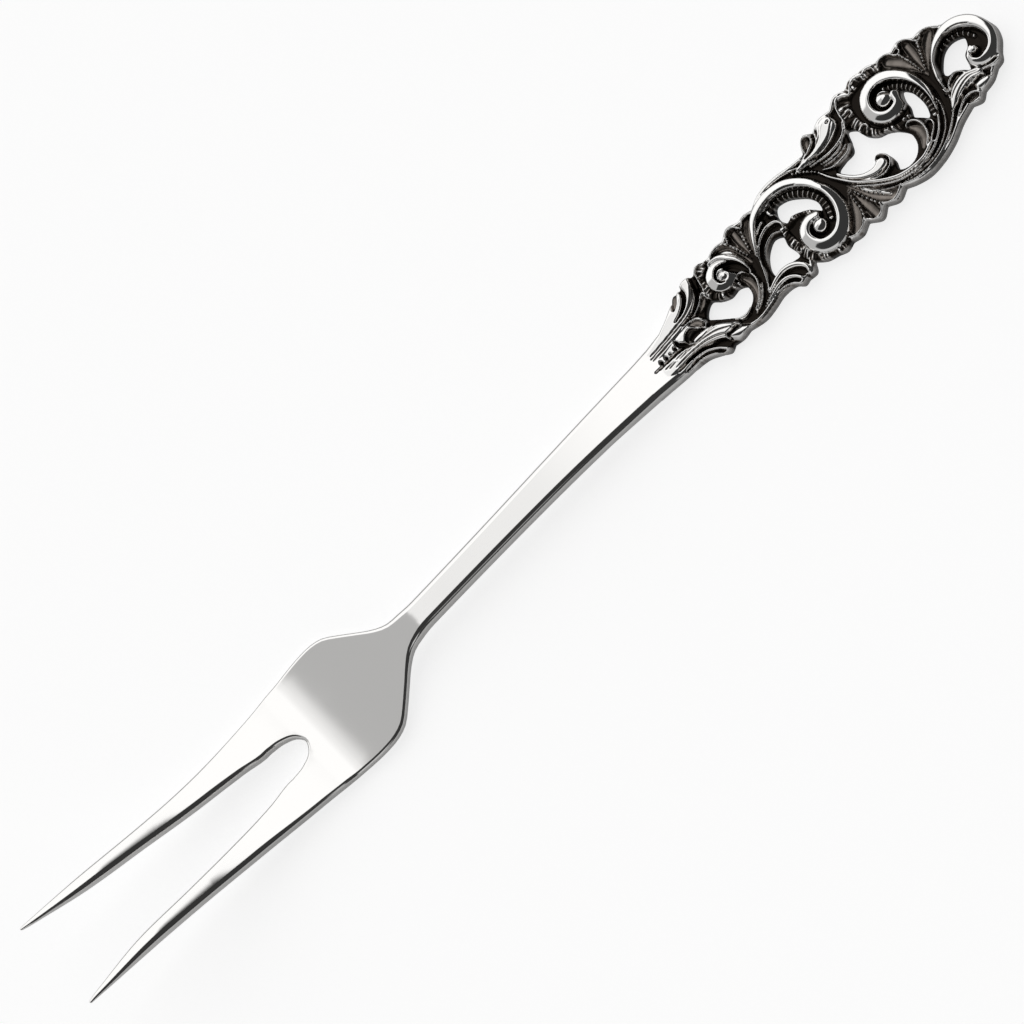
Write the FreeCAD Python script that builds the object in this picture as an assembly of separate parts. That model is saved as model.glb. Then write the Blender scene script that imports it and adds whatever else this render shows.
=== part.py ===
"""Two-tined serving fork of cast silver with a pierced scrollwork handle, in millimetres.

The fork lies as it rests on a table: +X runs from the tine tips to the handle end, +Z is up, and z = 0
is the table. It touches the table under the front of the plate and along the flat back of the handle.
The handle is laid out from HANDLE_X, and the stem, plate and tines are measured forward from there.
"""
import FreeCAD, Part
import math
import os

from FreeCAD import Vector

# Lengths along the fork
HANDLE_X = 28.0
HANDLE_LENGTH = 62.0
STEM_LENGTH = 52.0
PLATE_LENGTH = 21.3
TINE_LENGTH = 44.7

# Widths of the stem, plate, tines and handle
NECK_HALF = 2.15
STEM_HALF = 3.43
PLATE_HALF = 9.26
TINE_HALF = 7.2
TINE_TIP_HALF = 7.45
TINE_WIDTH = 2.85
TIP_WIDTH = 0.7
SLOT_HALF = 2.6
HANDLE_WIDTH = 17.7

# Thicknesses, and the rounding of the edges
STEM_THICK = 2.6
STEM_END_THICK = 2.1
PLATE_THICK = 1.66
TINE_THICK = 2.3
TIP_THICK = 0.7
STEM_ROUND = 0.95
PLATE_ROUND = 0.5
TINE_ROUND = 0.75
TIP_ROUND = 0.28

# Side view: the tines rise in a straight line from a bend, and the plate rises in an arc to the neck
TINE_ANGLE = math.radians(18.5)
TINE_BEND = 74.0
PLATE_BEND = 95.0
LOW_BEHIND_ROOT = 2.3
SHOULDER_RUN = 12.0
NECK_BLEND = 2.5
SLOT_CLOSE = 4.7
FALL_POWER = 4

# Where the stem runs into the handle, and where the handle's width takes over from the stem's
STEM_OVERLAP = 2.0
BASE_RUN = 8.0

# Shape of the outer edge: share of the length of tines, plate, shoulder or stem, and of the way from the
# smaller half width to the larger
TINE_FLARE = [(0.45, 0.0), (0.67, 0.1), (0.9, 0.44)]
PLATE_FLARE = [(0.11, 0.82), (0.34, 1.0)]
SHOULDER = [(1.0, 0.985), (0.83, 0.9), (0.67, 0.7), (0.5, 0.46), (0.33, 0.23), (0.17, 0.08), (0.0, 0.03)]
STEM_FLARE = [(0.5, 0.2), (0.88, 0.71), (1.0, 1.0)]

# Taper of one tine: share of its length from the tip, and of its width at the middle
TINE_TAPER = [(0.22, 0.72), (0.45, 0.97), (0.67, 1.33), (0.79, 1.6)]
TINE_STATIONS = [0.0, 0.03, 0.1, 0.2, 0.32, 0.45, 0.6, 0.75, 0.88, 1.0]
TINE_FULL = (0.3, 0.67)
TIP_RUN = 0.03
TIP_BLUNT = 0.6

# End of the slot between the tines: share of the run in which it closes, and of its half width
SLOT_END = [(0.0, 1.0), (0.45, 0.88), (0.85, 0.52), (1.0, 0.0)]

# Levels in the carving
WEB_TOP = 1.5
RIDGE_FOOT = 1.1
LOW_CREST = 2.2
MID_CREST = 2.55
HIGH_CREST = 2.95
CREST_SHARE = 0.55
LADDER_HALF = 0.17
LADDER_CREST = 2.05

# Spacing of the sections that are lofted, and how far a cutter reaches past the metal
SECTION_TURN = 0.42
SECTION_SPACING = 6.0
LEAST_SPANS = 3
TURN_STEPS = 60
SHANK_SPACING = 3.0
CUT_CLEAR = 2.0
NEAR = 0.01

NECK_X = HANDLE_X - STEM_LENGTH
ROOT_X = NECK_X - PLATE_LENGTH
TIP_X = ROOT_X - TINE_LENGTH
SLOT_X = ROOT_X - SLOT_CLOSE
LOW_X = ROOT_X + LOW_BEHIND_ROOT
CREST_X = NECK_X + NECK_BLEND
STEM_END_X = HANDLE_X + STEM_OVERLAP

# The handle as drawn: place() sets it to the sizes above. Its edge runs from the stem round its end and
# back, one run per scallop: the runs meet at notches.
OUTLINE = [
    [(28, 3.43), (30, 4.1), (31.5, 4.95), (33, 6.05), (33.9, 5.7)],
    [(33.9, 5.7), (35.2, 6.2), (36.95, 6.0)],
    [(36.95, 6.0), (38, 6.6), (39.1, 6.25)],
    [(39.1, 6.25), (40, 6.05)],
    [(40, 6.05), (41.6, 6.5), (43.05, 6.25)],
    [(43.05, 6.25), (44.6, 7.1), (46.4, 6.5)],
    [(46.4, 6.5), (47.5, 6.65), (48.9, 6.3)],
    [(48.9, 6.3), (50.5, 7.05), (52.5, 7.35), (54.5, 7.2), (56.5, 6.75), (59.1, 6.4)],
    [(59.1, 6.4), (59.9, 7.7), (60.8, 8.35), (62.1, 7.6)],
    [(62.1, 7.6), (63.9, 8.35), (65.9, 8.1)],
    [(65.9, 8.1), (67.6, 9.05), (69.35, 8.55)],
    [(69.35, 8.55), (70.7, 9.1), (72.4, 8.85)],
    [(72.4, 8.85), (73.7, 8.65), (74.9, 8.05)],
    [(74.9, 8.05), (76.2, 8.1), (77.4, 7.55)],
    [(77.4, 7.55), (79.2, 7.85), (80.9, 6.7)],
    [(80.9, 6.7), (82.9, 6.5), (84.95, 5.0)],
    [(84.95, 5.0), (87, 4.35), (88.8, 2.9), (89.75, 1.0), (90, -0.5), (89.5, -2.1), (88.1, -3.7)],
    [(88.1, -3.7), (87.4, -4.6), (86.2, -4.85)],
    [(86.2, -4.85), (84.6, -5.65), (82.8, -5.9)],
    [(82.8, -5.9), (81.7, -6.6), (80.1, -6.05)],
    [(80.1, -6.05), (77.7, -6.7), (75, -7.85), (72, -8.55), (69.5, -8.6), (67.3, -7.95), (65.9, -7.25)],
    [(65.9, -7.25), (64.1, -7.9), (62.35, -7.05)],
    [(62.35, -7.05), (60.8, -7.95), (58.95, -6.8)],
    [(58.95, -6.8), (57.3, -7.45), (55.6, -7.1)],
    [(55.6, -7.1), (54.3, -7.4), (52.95, -6.85)],
    [(52.95, -6.85), (51.4, -6.3), (50.05, -5.1)],
    [(50.05, -5.1), (49.2, -6.35), (47.8, -6.25)],
    [(47.8, -6.25), (46.9, -6.4), (46, -5.6), (44, -5.2), (41.8, -5.55), (40, -5.75), (37.2, -5.15)],
    [(37.2, -5.15), (35.8, -5.3), (34.35, -5.0)],
    [(34.35, -5.0), (33.4, -5.4), (32.2, -4.7), (30.5, -3.8), (28, -3.43)],
]

# Piercings between the scrolls and leaves, each a closed curve
PIERCINGS = [
    [(34.2, 0.3), (35.1, 1.3), (36.1, 1.65), (37.1, 0.8), (38.4, 0.1), (40.2, 0.1), (41.05, -0.5),
     (40.9, -2.0), (39.5, -3.05), (37.6, -2.95), (36.4, -2.0), (35.2, -0.9)],
    [(44.8, -1.9), (45.6, -0.2), (46.8, 0.85), (48.2, 1.35), (49.3, 0.7), (49.0, -0.9), (49.15, -3.1),
     (47.8, -2.9), (46.2, -2.7), (44.95, -2.8)],
    [(50.6, 3.1), (51.4, 4.3), (52.8, 4.1), (54.4, 3.0), (55.6, 1.6), (56.0, 0.0), (55.7, -0.85),
     (54.9, 0.0), (53.8, 0.85), (52.3, 1.5), (51.1, 1.5)],
    [(61.0, 1.4), (62.4, 1.7), (64.2, 1.85), (64.9, 3.0), (65.6, 4.4), (66.5, 3.7), (67.0, 2.0),
     (68.1, 0.7), (69.3, 0.2), (70.8, -1.1), (71.6, -2.7), (71.2, -4.3), (69.8, -5.4), (68.2, -5.5),
     (67.1, -4.8), (67.5, -3.4), (67.2, -1.9), (66.2, -1.35), (65.1, -2.1), (63.6, -1.9), (62.1, -0.8)],
    [(74.2, 1.8), (74.75, 2.7), (75.4, 1.9), (75.8, 0.1), (75.6, -1.8), (75.0, -2.8), (74.2, -2.0),
     (73.45, -1.0), (74.0, 0.4)],
    [(80.4, 0.1), (81.3, 1.4), (82.7, 2.35), (84.4, 2.45), (85.9, 1.5), (85.4, 0.3), (84.3, -0.4),
     (83.95, -1.3), (83.5, -2.3), (82.7, -1.5), (81.6, -0.75), (80.7, -0.6)],
]

# Raised scrolls and leaf ribs: middle line, half width at its start, widest and at its end, crest
SCROLLS = [
    ([(43.05, -0.1), (43.1, 1.4), (42.7, 2.8), (41.5, 4.5), (40, 5.1), (38.5, 4.5), (37.65, 2.9),
      (38.2, 1.2), (39.4, 0.6), (40.4, 1.2), (40.3, 2.3), (39.6, 2.8)], 0.35, 0.6, 0.35, HIGH_CREST),
    ([(45, 0.8), (46.5, 3.3), (48.5, 5.3), (50.5, 6.1), (52.5, 6.2), (54.5, 5.7), (56.2, 4.35),
      (57.4, 2.75), (58.05, 0.9), (58.15, -0.9), (57.8, -2.85), (56.7, -4.5), (55.1, -5.4),
      (53.3, -5.3), (52, -4.3), (51.5, -2.9), (51.9, -1.7), (53, -1.1), (54.0, -1.6), (54.2, -2.5)],
     0.35, 0.85, 0.45, HIGH_CREST),
    ([(76.4, -4.8), (77.5, -2.9), (77.9, -1.2), (77.8, 1.2), (77, 3.7), (75.3, 5.7), (73.2, 6.2),
      (71.2, 5.9), (69.8, 4.7), (69.35, 3.1), (69.9, 1.6), (71.2, 0.9), (72.4, 1.3), (72.9, 2.4),
      (72.4, 3.3)], 0.45, 0.8, 0.45, HIGH_CREST),
    ([(79.2, -2.3), (79.8, 0.2), (81, 2.2), (83, 3.75), (85, 4.0), (87, 3.4), (88.3, 2.2), (88.95, 0.5),
      (88.75, -1.3), (87.9, -2.8), (86.5, -3.4), (85.2, -2.8), (84.75, -1.8), (85.2, -0.9),
      (86, -0.9), (86.3, -1.6)], 0.35, 0.7, 0.35, HIGH_CREST),
]

LEAF_RIBS = [
    ([(20, 1.9), (27, 2.1), (30, 2.5), (31.9, 3.3), (33, 4.3), (33.2, 5.3)], 0.5, 0.5, 0.35, MID_CREST),
    ([(20, 1.3), (28, 1.7), (31, 2.3), (33.4, 3.3), (34.9, 4.5), (35.4, 5.5)], 0.35, 0.6, 0.6, MID_CREST),
    ([(20, 0.7), (28.5, 1.1), (33, 1.9), (35.3, 2.9), (36.7, 4.2), (37.6, 5.6)], 0.35, 0.5, 0.5, MID_CREST),
    ([(20, 2.6), (26, 2.9), (29, 3.4), (31, 4.3), (32.3, 5.2)], 0.4, 0.45, 0.35, LOW_CREST),
    ([(20, 0.1), (25, 0.2), (28, 0.2), (30.2, 0.6)], 0.35, 0.4, 0.3, LOW_CREST),
    ([(30.6, 1.2), (29.8, 0.3), (30.2, -0.8), (31.3, -1.1), (32.2, -0.5), (32.2, 0.5)],
     0.3, 0.35, 0.3, LOW_CREST),
    ([(20, -0.8), (27, -1.0), (31, -1.6), (33, -2.1), (34.8, -3.0), (36.2, -4.3)],
     0.35, 0.6, 0.6, MID_CREST),
    ([(20, -1.5), (28, -2.0), (31.5, -2.6), (33.2, -3.5), (34.3, -4.5)], 0.35, 0.45, 0.35, MID_CREST),
    ([(20, -2.2), (27, -2.75), (30.5, -3.2), (32.2, -3.9), (33.2, -4.8)], 0.35, 0.4, 0.35, LOW_CREST),
    ([(31.8, -1.5), (33.3, -1.1), (34.6, -1.1), (35.8, -1.7), (36.6, -2.8)], 0.3, 0.4, 0.3, MID_CREST),
    ([(30.6, 1.5), (33, 1.5), (34.5, 1.55), (36, 2.2)], 0.3, 0.35, 0.3, LOW_CREST),
    ([(42.9, -0.4), (42.7, -1.3), (41.9, -2.7), (40.4, -3.8), (38.8, -4.1), (37.2, -3.4)],
     0.35, 0.5, 0.35, MID_CREST),
    ([(42.6, -4.0), (44.4, -3.35), (46.2, -3.3), (47.8, -3.8), (48.8, -5.0), (49, -5.9)],
     0.4, 0.65, 0.5, MID_CREST),
    ([(40.2, -4.7), (42.2, -4.6), (44.2, -4.35), (45.8, -4.5), (46.9, -5.2), (47.3, -5.9)],
     0.35, 0.45, 0.35, MID_CREST),
    ([(37.5, -4.8), (39.5, -5.3), (41.5, -5.15), (43.5, -4.85)], 0.3, 0.35, 0.3, LOW_CREST),
    ([(44.6, 0.5), (44.2, -1.0), (43.7, -2.3), (42.9, -3.4)], 0.35, 0.4, 0.35, MID_CREST),
    ([(45.4, 0.6), (46.5, 1.7), (48, 2.5), (49.4, 2.8), (50.2, 2.1)], 0.35, 0.55, 0.45, MID_CREST),
    ([(46.6, 2.6), (47.6, 3.5), (49, 3.9), (50.1, 3.9)], 0.3, 0.4, 0.35, LOW_CREST),
    ([(51.4, 0.9), (50.3, 0.3), (49.8, -1.0), (49.75, -2.9), (50.4, -4.4), (51.7, -5.6), (53.4, -6.3),
      (55.2, -6.6)], 0.3, 0.4, 0.3, LOW_CREST),
    ([(44.1, 2.2), (44, 3.6), (43.4, 4.9), (42.2, 5.8)], 0.3, 0.35, 0.3, LOW_CREST),
    ([(44.9, 2.5), (45.3, 4.1), (46.2, 5.4), (47.8, 6.0)], 0.3, 0.35, 0.3, LOW_CREST),
    ([(58.2, 5.0), (60, 5.4), (61.9, 5.9), (63.3, 6.7), (64.3, 7.6)], 0.4, 0.75, 0.7, MID_CREST),
    ([(57.2, 5.8), (59.3, 6.1), (60.7, 6.8), (61.0, 7.5)], 0.3, 0.35, 0.3, MID_CREST),
    ([(58.6, 4.2), (61, 4.0), (63.2, 4.3), (65, 5.2), (66, 6.4), (66.4, 7.6)], 0.35, 0.5, 0.4, MID_CREST),
    ([(59.6, 2.7), (61.3, 2.3), (63, 2.3), (64.1, 2.8), (64.7, 3.8), (65.5, 4.8)],
     0.3, 0.4, 0.3, LOW_CREST),
    ([(59.2, 2.9), (59.9, 1.5), (60.6, 0.2), (61.7, -1.5), (63.1, -3.1), (64.8, -4.6), (66.7, -5.9),
      (69, -6.55), (71.3, -6.5), (73.3, -5.7), (74.7, -4.3)], 0.4, 0.5, 0.4, MID_CREST),
    ([(66.2, -1.9), (66.9, -2.7), (66.8, -3.6), (66, -4.05), (64.8, -3.7), (63.8, -2.8)],
     0.35, 0.45, 0.35, MID_CREST),
    ([(62.4, -4.0), (64, -5.4), (66, -6.6), (68.2, -7.35), (70.5, -7.55), (73, -7.1), (75, -5.9),
      (76.2, -4.6)], 0.35, 0.4, 0.4, MID_CREST),
    ([(68.4, -8.1), (70.4, -8.15), (72.8, -7.9), (75.2, -7.15), (77.2, -6.1), (79, -4.9), (80.8, -3.7),
      (82.4, -3.2), (83.7, -3.6), (84.6, -4.6)], 0.35, 0.45, 0.5, MID_CREST),
    ([(60.2, -2.2), (60, -4), (59.7, -5.6), (59.1, -6.5)], 0.3, 0.35, 0.3, LOW_CREST),
    ([(60.6, -2.4), (61.1, -3.9), (61.7, -5.5), (62.3, -6.7)], 0.3, 0.35, 0.3, LOW_CREST),
    ([(66.6, 5.4), (66.9, 3.8), (67.5, 1.9), (68.9, 0.4), (70.8, -0.4), (72.8, -0.8)],
     0.35, 0.45, 0.35, LOW_CREST),
    ([(75.6, 7.4), (73.6, 7.9), (71.2, 8.3), (69, 8.0), (67.4, 7.0)], 0.35, 0.45, 0.35, LOW_CREST),
    ([(71.9, -1.3), (72.9, -1.8), (73.4, -2.9), (73.2, -4.2), (72.4, -5.4)], 0.35, 0.45, 0.35, MID_CREST),
    ([(79.1, 2.1), (78.8, 3.6), (78.4, 5.2), (77.9, 6.9)], 0.3, 0.4, 0.3, LOW_CREST),
    ([(79.5, 2.6), (80, 3.9), (80.6, 5.2), (81.3, 6.1)], 0.3, 0.35, 0.3, LOW_CREST),
    ([(79, -2.9), (79.9, -2.0), (81, -1.45), (82.1, -1.6), (83.1, -2.7)], 0.3, 0.4, 0.3, MID_CREST),
    ([(78.6, -5.6), (80.2, -4.9), (81.6, -4.9), (82.4, -5.6)], 0.3, 0.4, 0.3, LOW_CREST),
    ([(84.6, -4.3), (85.8, -4.45), (87, -4.2), (87.9, -3.5)], 0.3, 0.4, 0.3, LOW_CREST),
]

# Fluted bands inside two scrolls: outer edge, inner edge and number of ribs across
LADDERS = [
    ([(51.6, 5.3), (53.7, 4.9), (55.4, 3.7), (56.6, 2.1), (57.2, 0.2), (57.1, -1.9), (56.2, -3.5)],
     [(51.7, 4.4), (53.3, 3.9), (54.7, 2.8), (55.8, 1.6), (56.2, 0.1), (56.0, -1.3), (55.0, -2.6)], 13),
    ([(73.4, 5.3), (75.2, 4.6), (76.6, 2.8), (77.0, 0.6), (77.0, -1.5), (76.4, -3.2)],
     [(73.9, 3.9), (75.0, 2.9), (75.7, 1.8), (75.95, 0.2), (75.8, -1.4), (75.4, -2.6)], 8),
]


def spline(points, closed=False):
    """Smooth edge through points in the plane of the table."""
    curve = Part.BSplineCurve()
    curve.interpolate([Vector(x, y, 0) for x, y in points], PeriodicFlag=closed)
    return curve


def slope_at(stations, i):
    """Slope of the smooth curve at one station, level where the values turn or stay."""
    here = stations[i]
    before = stations[max(i - 1, 0)]
    after = stations[min(i + 1, len(stations) - 1)]
    if (here[1] - before[1]) * (after[1] - here[1]) <= 0:
        return 0.0
    return (after[1] - before[1]) / (after[0] - before[0])


def along(stations, x):
    """Value at x on a smooth curve through (place, value) stations, level beyond its ends."""
    if x <= stations[0][0]:
        return stations[0][1]
    for i in range(len(stations) - 1):
        x0, v0 = stations[i]
        x1, v1 = stations[i + 1]
        if x <= x1:
            slope0 = slope_at(stations, i)
            slope1 = slope_at(stations, i + 1)
            t = (x - x0) / (x1 - x0)
            step = x1 - x0
            return ((2 * t ** 3 - 3 * t ** 2 + 1) * v0 + (t ** 3 - 2 * t ** 2 + t) * step * slope0
                    + (3 * t ** 2 - 2 * t ** 3) * v1 + (t ** 3 - t ** 2) * step * slope1)
    return stations[-1][1]


def arc_rise(radius, run):
    """Rise of an arc over a run that starts level."""
    return radius - math.sqrt(radius ** 2 - run ** 2)


def underside(x):
    """Height of the underside: straight tines, an upward bend, a dished plate and an arched stem."""
    away = abs(x - LOW_X)
    if x < LOW_X:
        bend_run = TINE_BEND * math.sin(TINE_ANGLE)
        if away < bend_run:
            return arc_rise(TINE_BEND, away)
        return arc_rise(TINE_BEND, bend_run) + (away - bend_run) * math.tan(TINE_ANGLE)
    arc_end = NECK_X - NECK_BLEND
    if x < arc_end:
        return arc_rise(PLATE_BEND, away)
    arc_run = arc_end - LOW_X
    slope = arc_run / math.sqrt(PLATE_BEND ** 2 - arc_run ** 2)
    crest = arc_rise(PLATE_BEND, arc_run) + slope * NECK_BLEND
    if x < CREST_X:
        back = (CREST_X - x) / (CREST_X - arc_end)
        return crest - slope * NECK_BLEND * back ** 2
    return crest * (1 - ((x - CREST_X) / (STEM_END_X - CREST_X)) ** FALL_POWER)


def stretch():
    """How far the drawn handle is stretched along and across the fork."""
    drawn = [point for run in OUTLINE for point in run]
    length = max(x for x, y in drawn) - drawn[0][0]
    width = max(y for x, y in drawn) - min(y for x, y in drawn)
    return HANDLE_LENGTH / length, HANDLE_WIDTH / width


def place(x, y):
    """A drawn point of the handle, set to the handle's length and width and to the stem's width."""
    start_x, start_half = OUTLINE[0][0]
    lengthen, widen = stretch()
    swell = along([(0, STEM_HALF / start_half), (BASE_RUN, widen)], x - start_x)
    return HANDLE_X + (x - start_x) * lengthen, y * swell


def outer_half(x):
    """Half width over the outside of tines, plate, neck and stem."""
    def between(low, high, share):
        return low + (high - low) * share

    return along(
        [(TIP_X, TINE_TIP_HALF)]
        + [(TIP_X + run * TINE_LENGTH, between(TINE_HALF, PLATE_HALF, share)) for run, share in TINE_FLARE]
        + [(ROOT_X + run * PLATE_LENGTH, between(TINE_HALF, PLATE_HALF, share))
           for run, share in PLATE_FLARE]
        + [(NECK_X - run * SHOULDER_RUN, between(NECK_HALF, PLATE_HALF, share)) for run, share in SHOULDER]
        + [(CREST_X, NECK_HALF)]
        + [(NECK_X + run * STEM_LENGTH, between(NECK_HALF, STEM_HALF, share)) for run, share in STEM_FLARE],
        x)


def tine_width(x):
    """Width of one tine, which tapers to a blunt point."""
    return along(
        [(TIP_X, TIP_WIDTH * TIP_BLUNT), (TIP_X + TIP_RUN * TINE_LENGTH, TIP_WIDTH)]
        + [(TIP_X + run * TINE_LENGTH, TINE_WIDTH * share) for run, share in TINE_TAPER]
        + [(SLOT_X, outer_half(SLOT_X) - SLOT_HALF)],
        x)


def thickness(x):
    """Thickness of the metal."""
    return along([
        (TIP_X, TIP_THICK * TIP_BLUNT),
        (TIP_X + TIP_RUN * TINE_LENGTH, TIP_THICK),
        (TIP_X + TINE_FULL[0] * TINE_LENGTH, TINE_THICK),
        (TIP_X + TINE_FULL[1] * TINE_LENGTH, TINE_THICK),
        (ROOT_X, (TINE_THICK + PLATE_THICK) / 2),
        (LOW_X, PLATE_THICK),
        (NECK_X - SHOULDER_RUN / 2, PLATE_THICK),
        (CREST_X, STEM_THICK),
        (NECK_X + STEM_LENGTH / 2, STEM_THICK),
        (HANDLE_X, STEM_END_THICK),
    ], x)


def edge_round(x):
    """Radius on the long edges."""
    return along([
        (TIP_X, TIP_ROUND * TIP_BLUNT),
        (TIP_X + TIP_RUN * TINE_LENGTH, TIP_ROUND),
        (TIP_X + TINE_FULL[0] * TINE_LENGTH, TINE_ROUND),
        (TIP_X + TINE_FULL[1] * TINE_LENGTH, TINE_ROUND),
        (SLOT_X, PLATE_ROUND),
        (NECK_X - SHOULDER_RUN / 2, PLATE_ROUND),
        (CREST_X, STEM_ROUND),
    ], x)


def section(x, low_y, high_y):
    """Rectangle across the fork at x, with each corner rounded off in two facets."""
    radius = edge_round(x)
    inset = radius * (1 - math.sqrt(0.5))
    bottom = underside(x)
    top = bottom + thickness(x)
    points = []
    corners = [(low_y, bottom, 1, 1), (high_y, bottom, -1, 1), (high_y, top, -1, -1), (low_y, top, 1, -1)]
    for index, (y, z, inward, up) in enumerate(corners):
        on_side = Vector(x, y, z + up * radius)
        between = Vector(x, y + inward * inset, z + up * inset)
        on_flat = Vector(x, y + inward * radius, z)
        points += [on_side, between, on_flat] if index % 2 == 0 else [on_flat, between, on_side]
    return Part.makePolygon(points + [points[0]])


def tine(side):
    """One tine, from its blunt point to where the slot begins to close."""
    wires = []
    for share in TINE_STATIONS:
        x = TIP_X + (SLOT_X - TIP_X) * share
        outside = side * outer_half(x)
        inside = side * (outer_half(x) - tine_width(x))
        wires.append(section(x, min(outside, inside), max(outside, inside)))
    return Part.makeLoft(wires, True, False)


def shank():
    """Tines, plate and stem: lofts of rounded sections, with the end of the slot cut between the tines."""
    count = round((STEM_END_X - SLOT_X) / SHANK_SPACING)
    places = [SLOT_X + (STEM_END_X - SLOT_X) * i / count for i in range(count + 1)]
    plate = Part.makeLoft([section(x, -outer_half(x), outer_half(x)) for x in places], True, False)
    half_end = [(SLOT_X + SLOT_CLOSE * run, SLOT_HALF * share) for run, share in SLOT_END]
    end = spline(half_end + [(x, -y) for x, y in reversed(half_end[:-1])])
    mouth = Part.makeLine(Vector(SLOT_X, -SLOT_HALF, 0), Vector(SLOT_X, SLOT_HALF, 0))
    deep = underside(SLOT_X) + thickness(SLOT_X) + 2 * CUT_CLEAR
    slot = Part.Face(Part.Wire([end.toShape(), mouth])).extrude(Vector(0, 0, deep))
    slot.translate(Vector(0, 0, -CUT_CLEAR))
    plate = plate.cut(slot)
    rims = [edge for edge in plate.Edges if edge.BoundBox.XLength > SLOT_CLOSE - NEAR
            and edge.BoundBox.XMax < ROOT_X + NEAR and edge.BoundBox.YLength > SLOT_HALF]
    plate = plate.makeFillet(PLATE_ROUND, rims)
    return plate.fuse([tine(1), tine(-1)])


def rib_section(middle, side, crest):
    """Section of a rib, with sloping flanks from its foot in the web up to a narrower crest."""
    foot = Vector(0, 0, RIDGE_FOOT)
    top = Vector(0, 0, crest)
    corners = [middle + side + foot, middle + side * CREST_SHARE + top,
               middle - side * CREST_SHARE + top, middle - side + foot]
    return Part.makePolygon(corners + [corners[0]])


def path_turn(path, length):
    """How far a path turns in all, in radians."""
    headings = [path.tangent(path.parameterAtDistance(length * i / TURN_STEPS))[0]
                for i in range(TURN_STEPS + 1)]
    return sum(headings[i].getAngle(headings[i + 1]) for i in range(TURN_STEPS))


def ridge(points, start, widest, end, crest):
    """A raised rib along a curve, tapering towards its ends and let into the web."""
    path = spline([place(*point) for point in points])
    length = path.length()
    slim = min(stretch())
    count = max(LEAST_SPANS, math.ceil(path_turn(path, length) / SECTION_TURN + length / SECTION_SPACING))
    sections = []
    for i in range(count + 1):
        share = i / count
        at = path.parameterAtDistance(length * share)
        heading = path.tangent(at)[0]
        half = start + (end - start) * share + (widest - (start + end) / 2) * math.sin(math.pi * share)
        side = Vector(-heading.y, heading.x, 0) * half * slim
        height = RIDGE_FOOT + (crest - RIDGE_FOOT) * math.sqrt(half / widest)
        sections.append(rib_section(path.value(at), side, height))
    return Part.makeLoft(sections, True, True)


def ladder(outer, inner, count):
    """Short ribs across a fluted band, between its outer and inner edge."""
    outer_edge = spline([place(*point) for point in outer])
    inner_edge = spline([place(*point) for point in inner])
    ribs = []
    for i in range(count):
        share = (i + 0.5) / count
        start = outer_edge.value(outer_edge.parameterAtDistance(outer_edge.length() * share))
        stop = inner_edge.value(inner_edge.parameterAtDistance(inner_edge.length() * share))
        heading = (stop - start).normalize()
        side = Vector(-heading.y, heading.x, 0) * LADDER_HALF
        rib = Part.Face(rib_section(start, side, LADDER_CREST))
        ribs.append(rib.extrude(stop - start))
    return ribs


def web():
    """The flat-backed plate of the handle, with its scalloped edge."""
    edges = []
    for drawn in OUTLINE:
        run = [place(*point) for point in drawn]
        if len(run) == 2:
            edges.append(Part.makeLine(Vector(*run[0], 0), Vector(*run[1], 0)))
        elif len(run) == 3:
            edges.append(Part.Arc(*[Vector(x, y, 0) for x, y in run]).toShape())
        else:
            edges.append(spline(run).toShape())
    edges.append(Part.makeLine(Vector(*place(*OUTLINE[-1][-1]), 0), Vector(*place(*OUTLINE[0][0]), 0)))
    return Part.Face(Part.Wire(edges)).extrude(Vector(0, 0, WEB_TOP))


def piercings():
    """The openings of the handle, each as a solid to cut away."""
    holes = []
    for points in PIERCINGS:
        hole = Part.Face(Part.Wire([spline([place(*point) for point in points], closed=True).toShape()]))
        hole.translate(Vector(0, 0, -CUT_CLEAR))
        holes.append(hole.extrude(Vector(0, 0, HIGH_CREST + 2 * CUT_CLEAR)))
    return holes


def handle():
    """The carved openwork of the handle."""
    ribs = [ridge(*row) for row in SCROLLS + LEAF_RIBS]
    for row in LADDERS:
        ribs += ladder(*row)
    return web().fuse(ribs).cut(piercings())


def serving_fork():
    """The whole fork as one solid."""
    return handle().fuse(shank())


if __name__ == "__main__":
    os.makedirs("parts", exist_ok=True)
    fork = serving_fork()
    print("serving_fork", fork.isValid(), len(fork.Solids), "solid", round(fork.Volume, 1), "mm3")
    fork.exportStep("parts/serving_fork.step")
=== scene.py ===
"""Looks of the serving fork: its carved openwork handle, its polished shank, the silver and a plain studio.

The lists give places in the plane of the table and heights above it in millimetres, as (x, y) pairs along
and across the fork. The meshes are made in millimetres and scaled to metres at the end.
"""

import math

import bpy
import numpy as np
from mathutils import Matrix, Vector
from mathutils.geometry import delaunay_2d_cdt


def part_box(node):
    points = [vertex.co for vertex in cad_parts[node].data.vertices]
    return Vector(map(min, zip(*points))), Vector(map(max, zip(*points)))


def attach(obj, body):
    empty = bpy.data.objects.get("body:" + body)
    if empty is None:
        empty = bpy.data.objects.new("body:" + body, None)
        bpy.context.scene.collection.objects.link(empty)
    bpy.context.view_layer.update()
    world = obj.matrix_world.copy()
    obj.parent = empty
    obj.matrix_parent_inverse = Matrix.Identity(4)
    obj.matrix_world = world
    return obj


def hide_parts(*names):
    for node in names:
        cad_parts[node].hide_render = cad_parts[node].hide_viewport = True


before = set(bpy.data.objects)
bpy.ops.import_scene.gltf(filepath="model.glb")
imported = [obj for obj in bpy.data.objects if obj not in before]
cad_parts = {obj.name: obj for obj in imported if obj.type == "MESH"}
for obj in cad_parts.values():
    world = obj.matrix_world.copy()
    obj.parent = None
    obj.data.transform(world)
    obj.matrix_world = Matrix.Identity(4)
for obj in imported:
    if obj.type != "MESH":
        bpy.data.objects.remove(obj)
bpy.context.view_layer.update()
node_low, node_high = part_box("serving_fork")

MM = 0.001
TIP_X = node_low.x / MM

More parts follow.
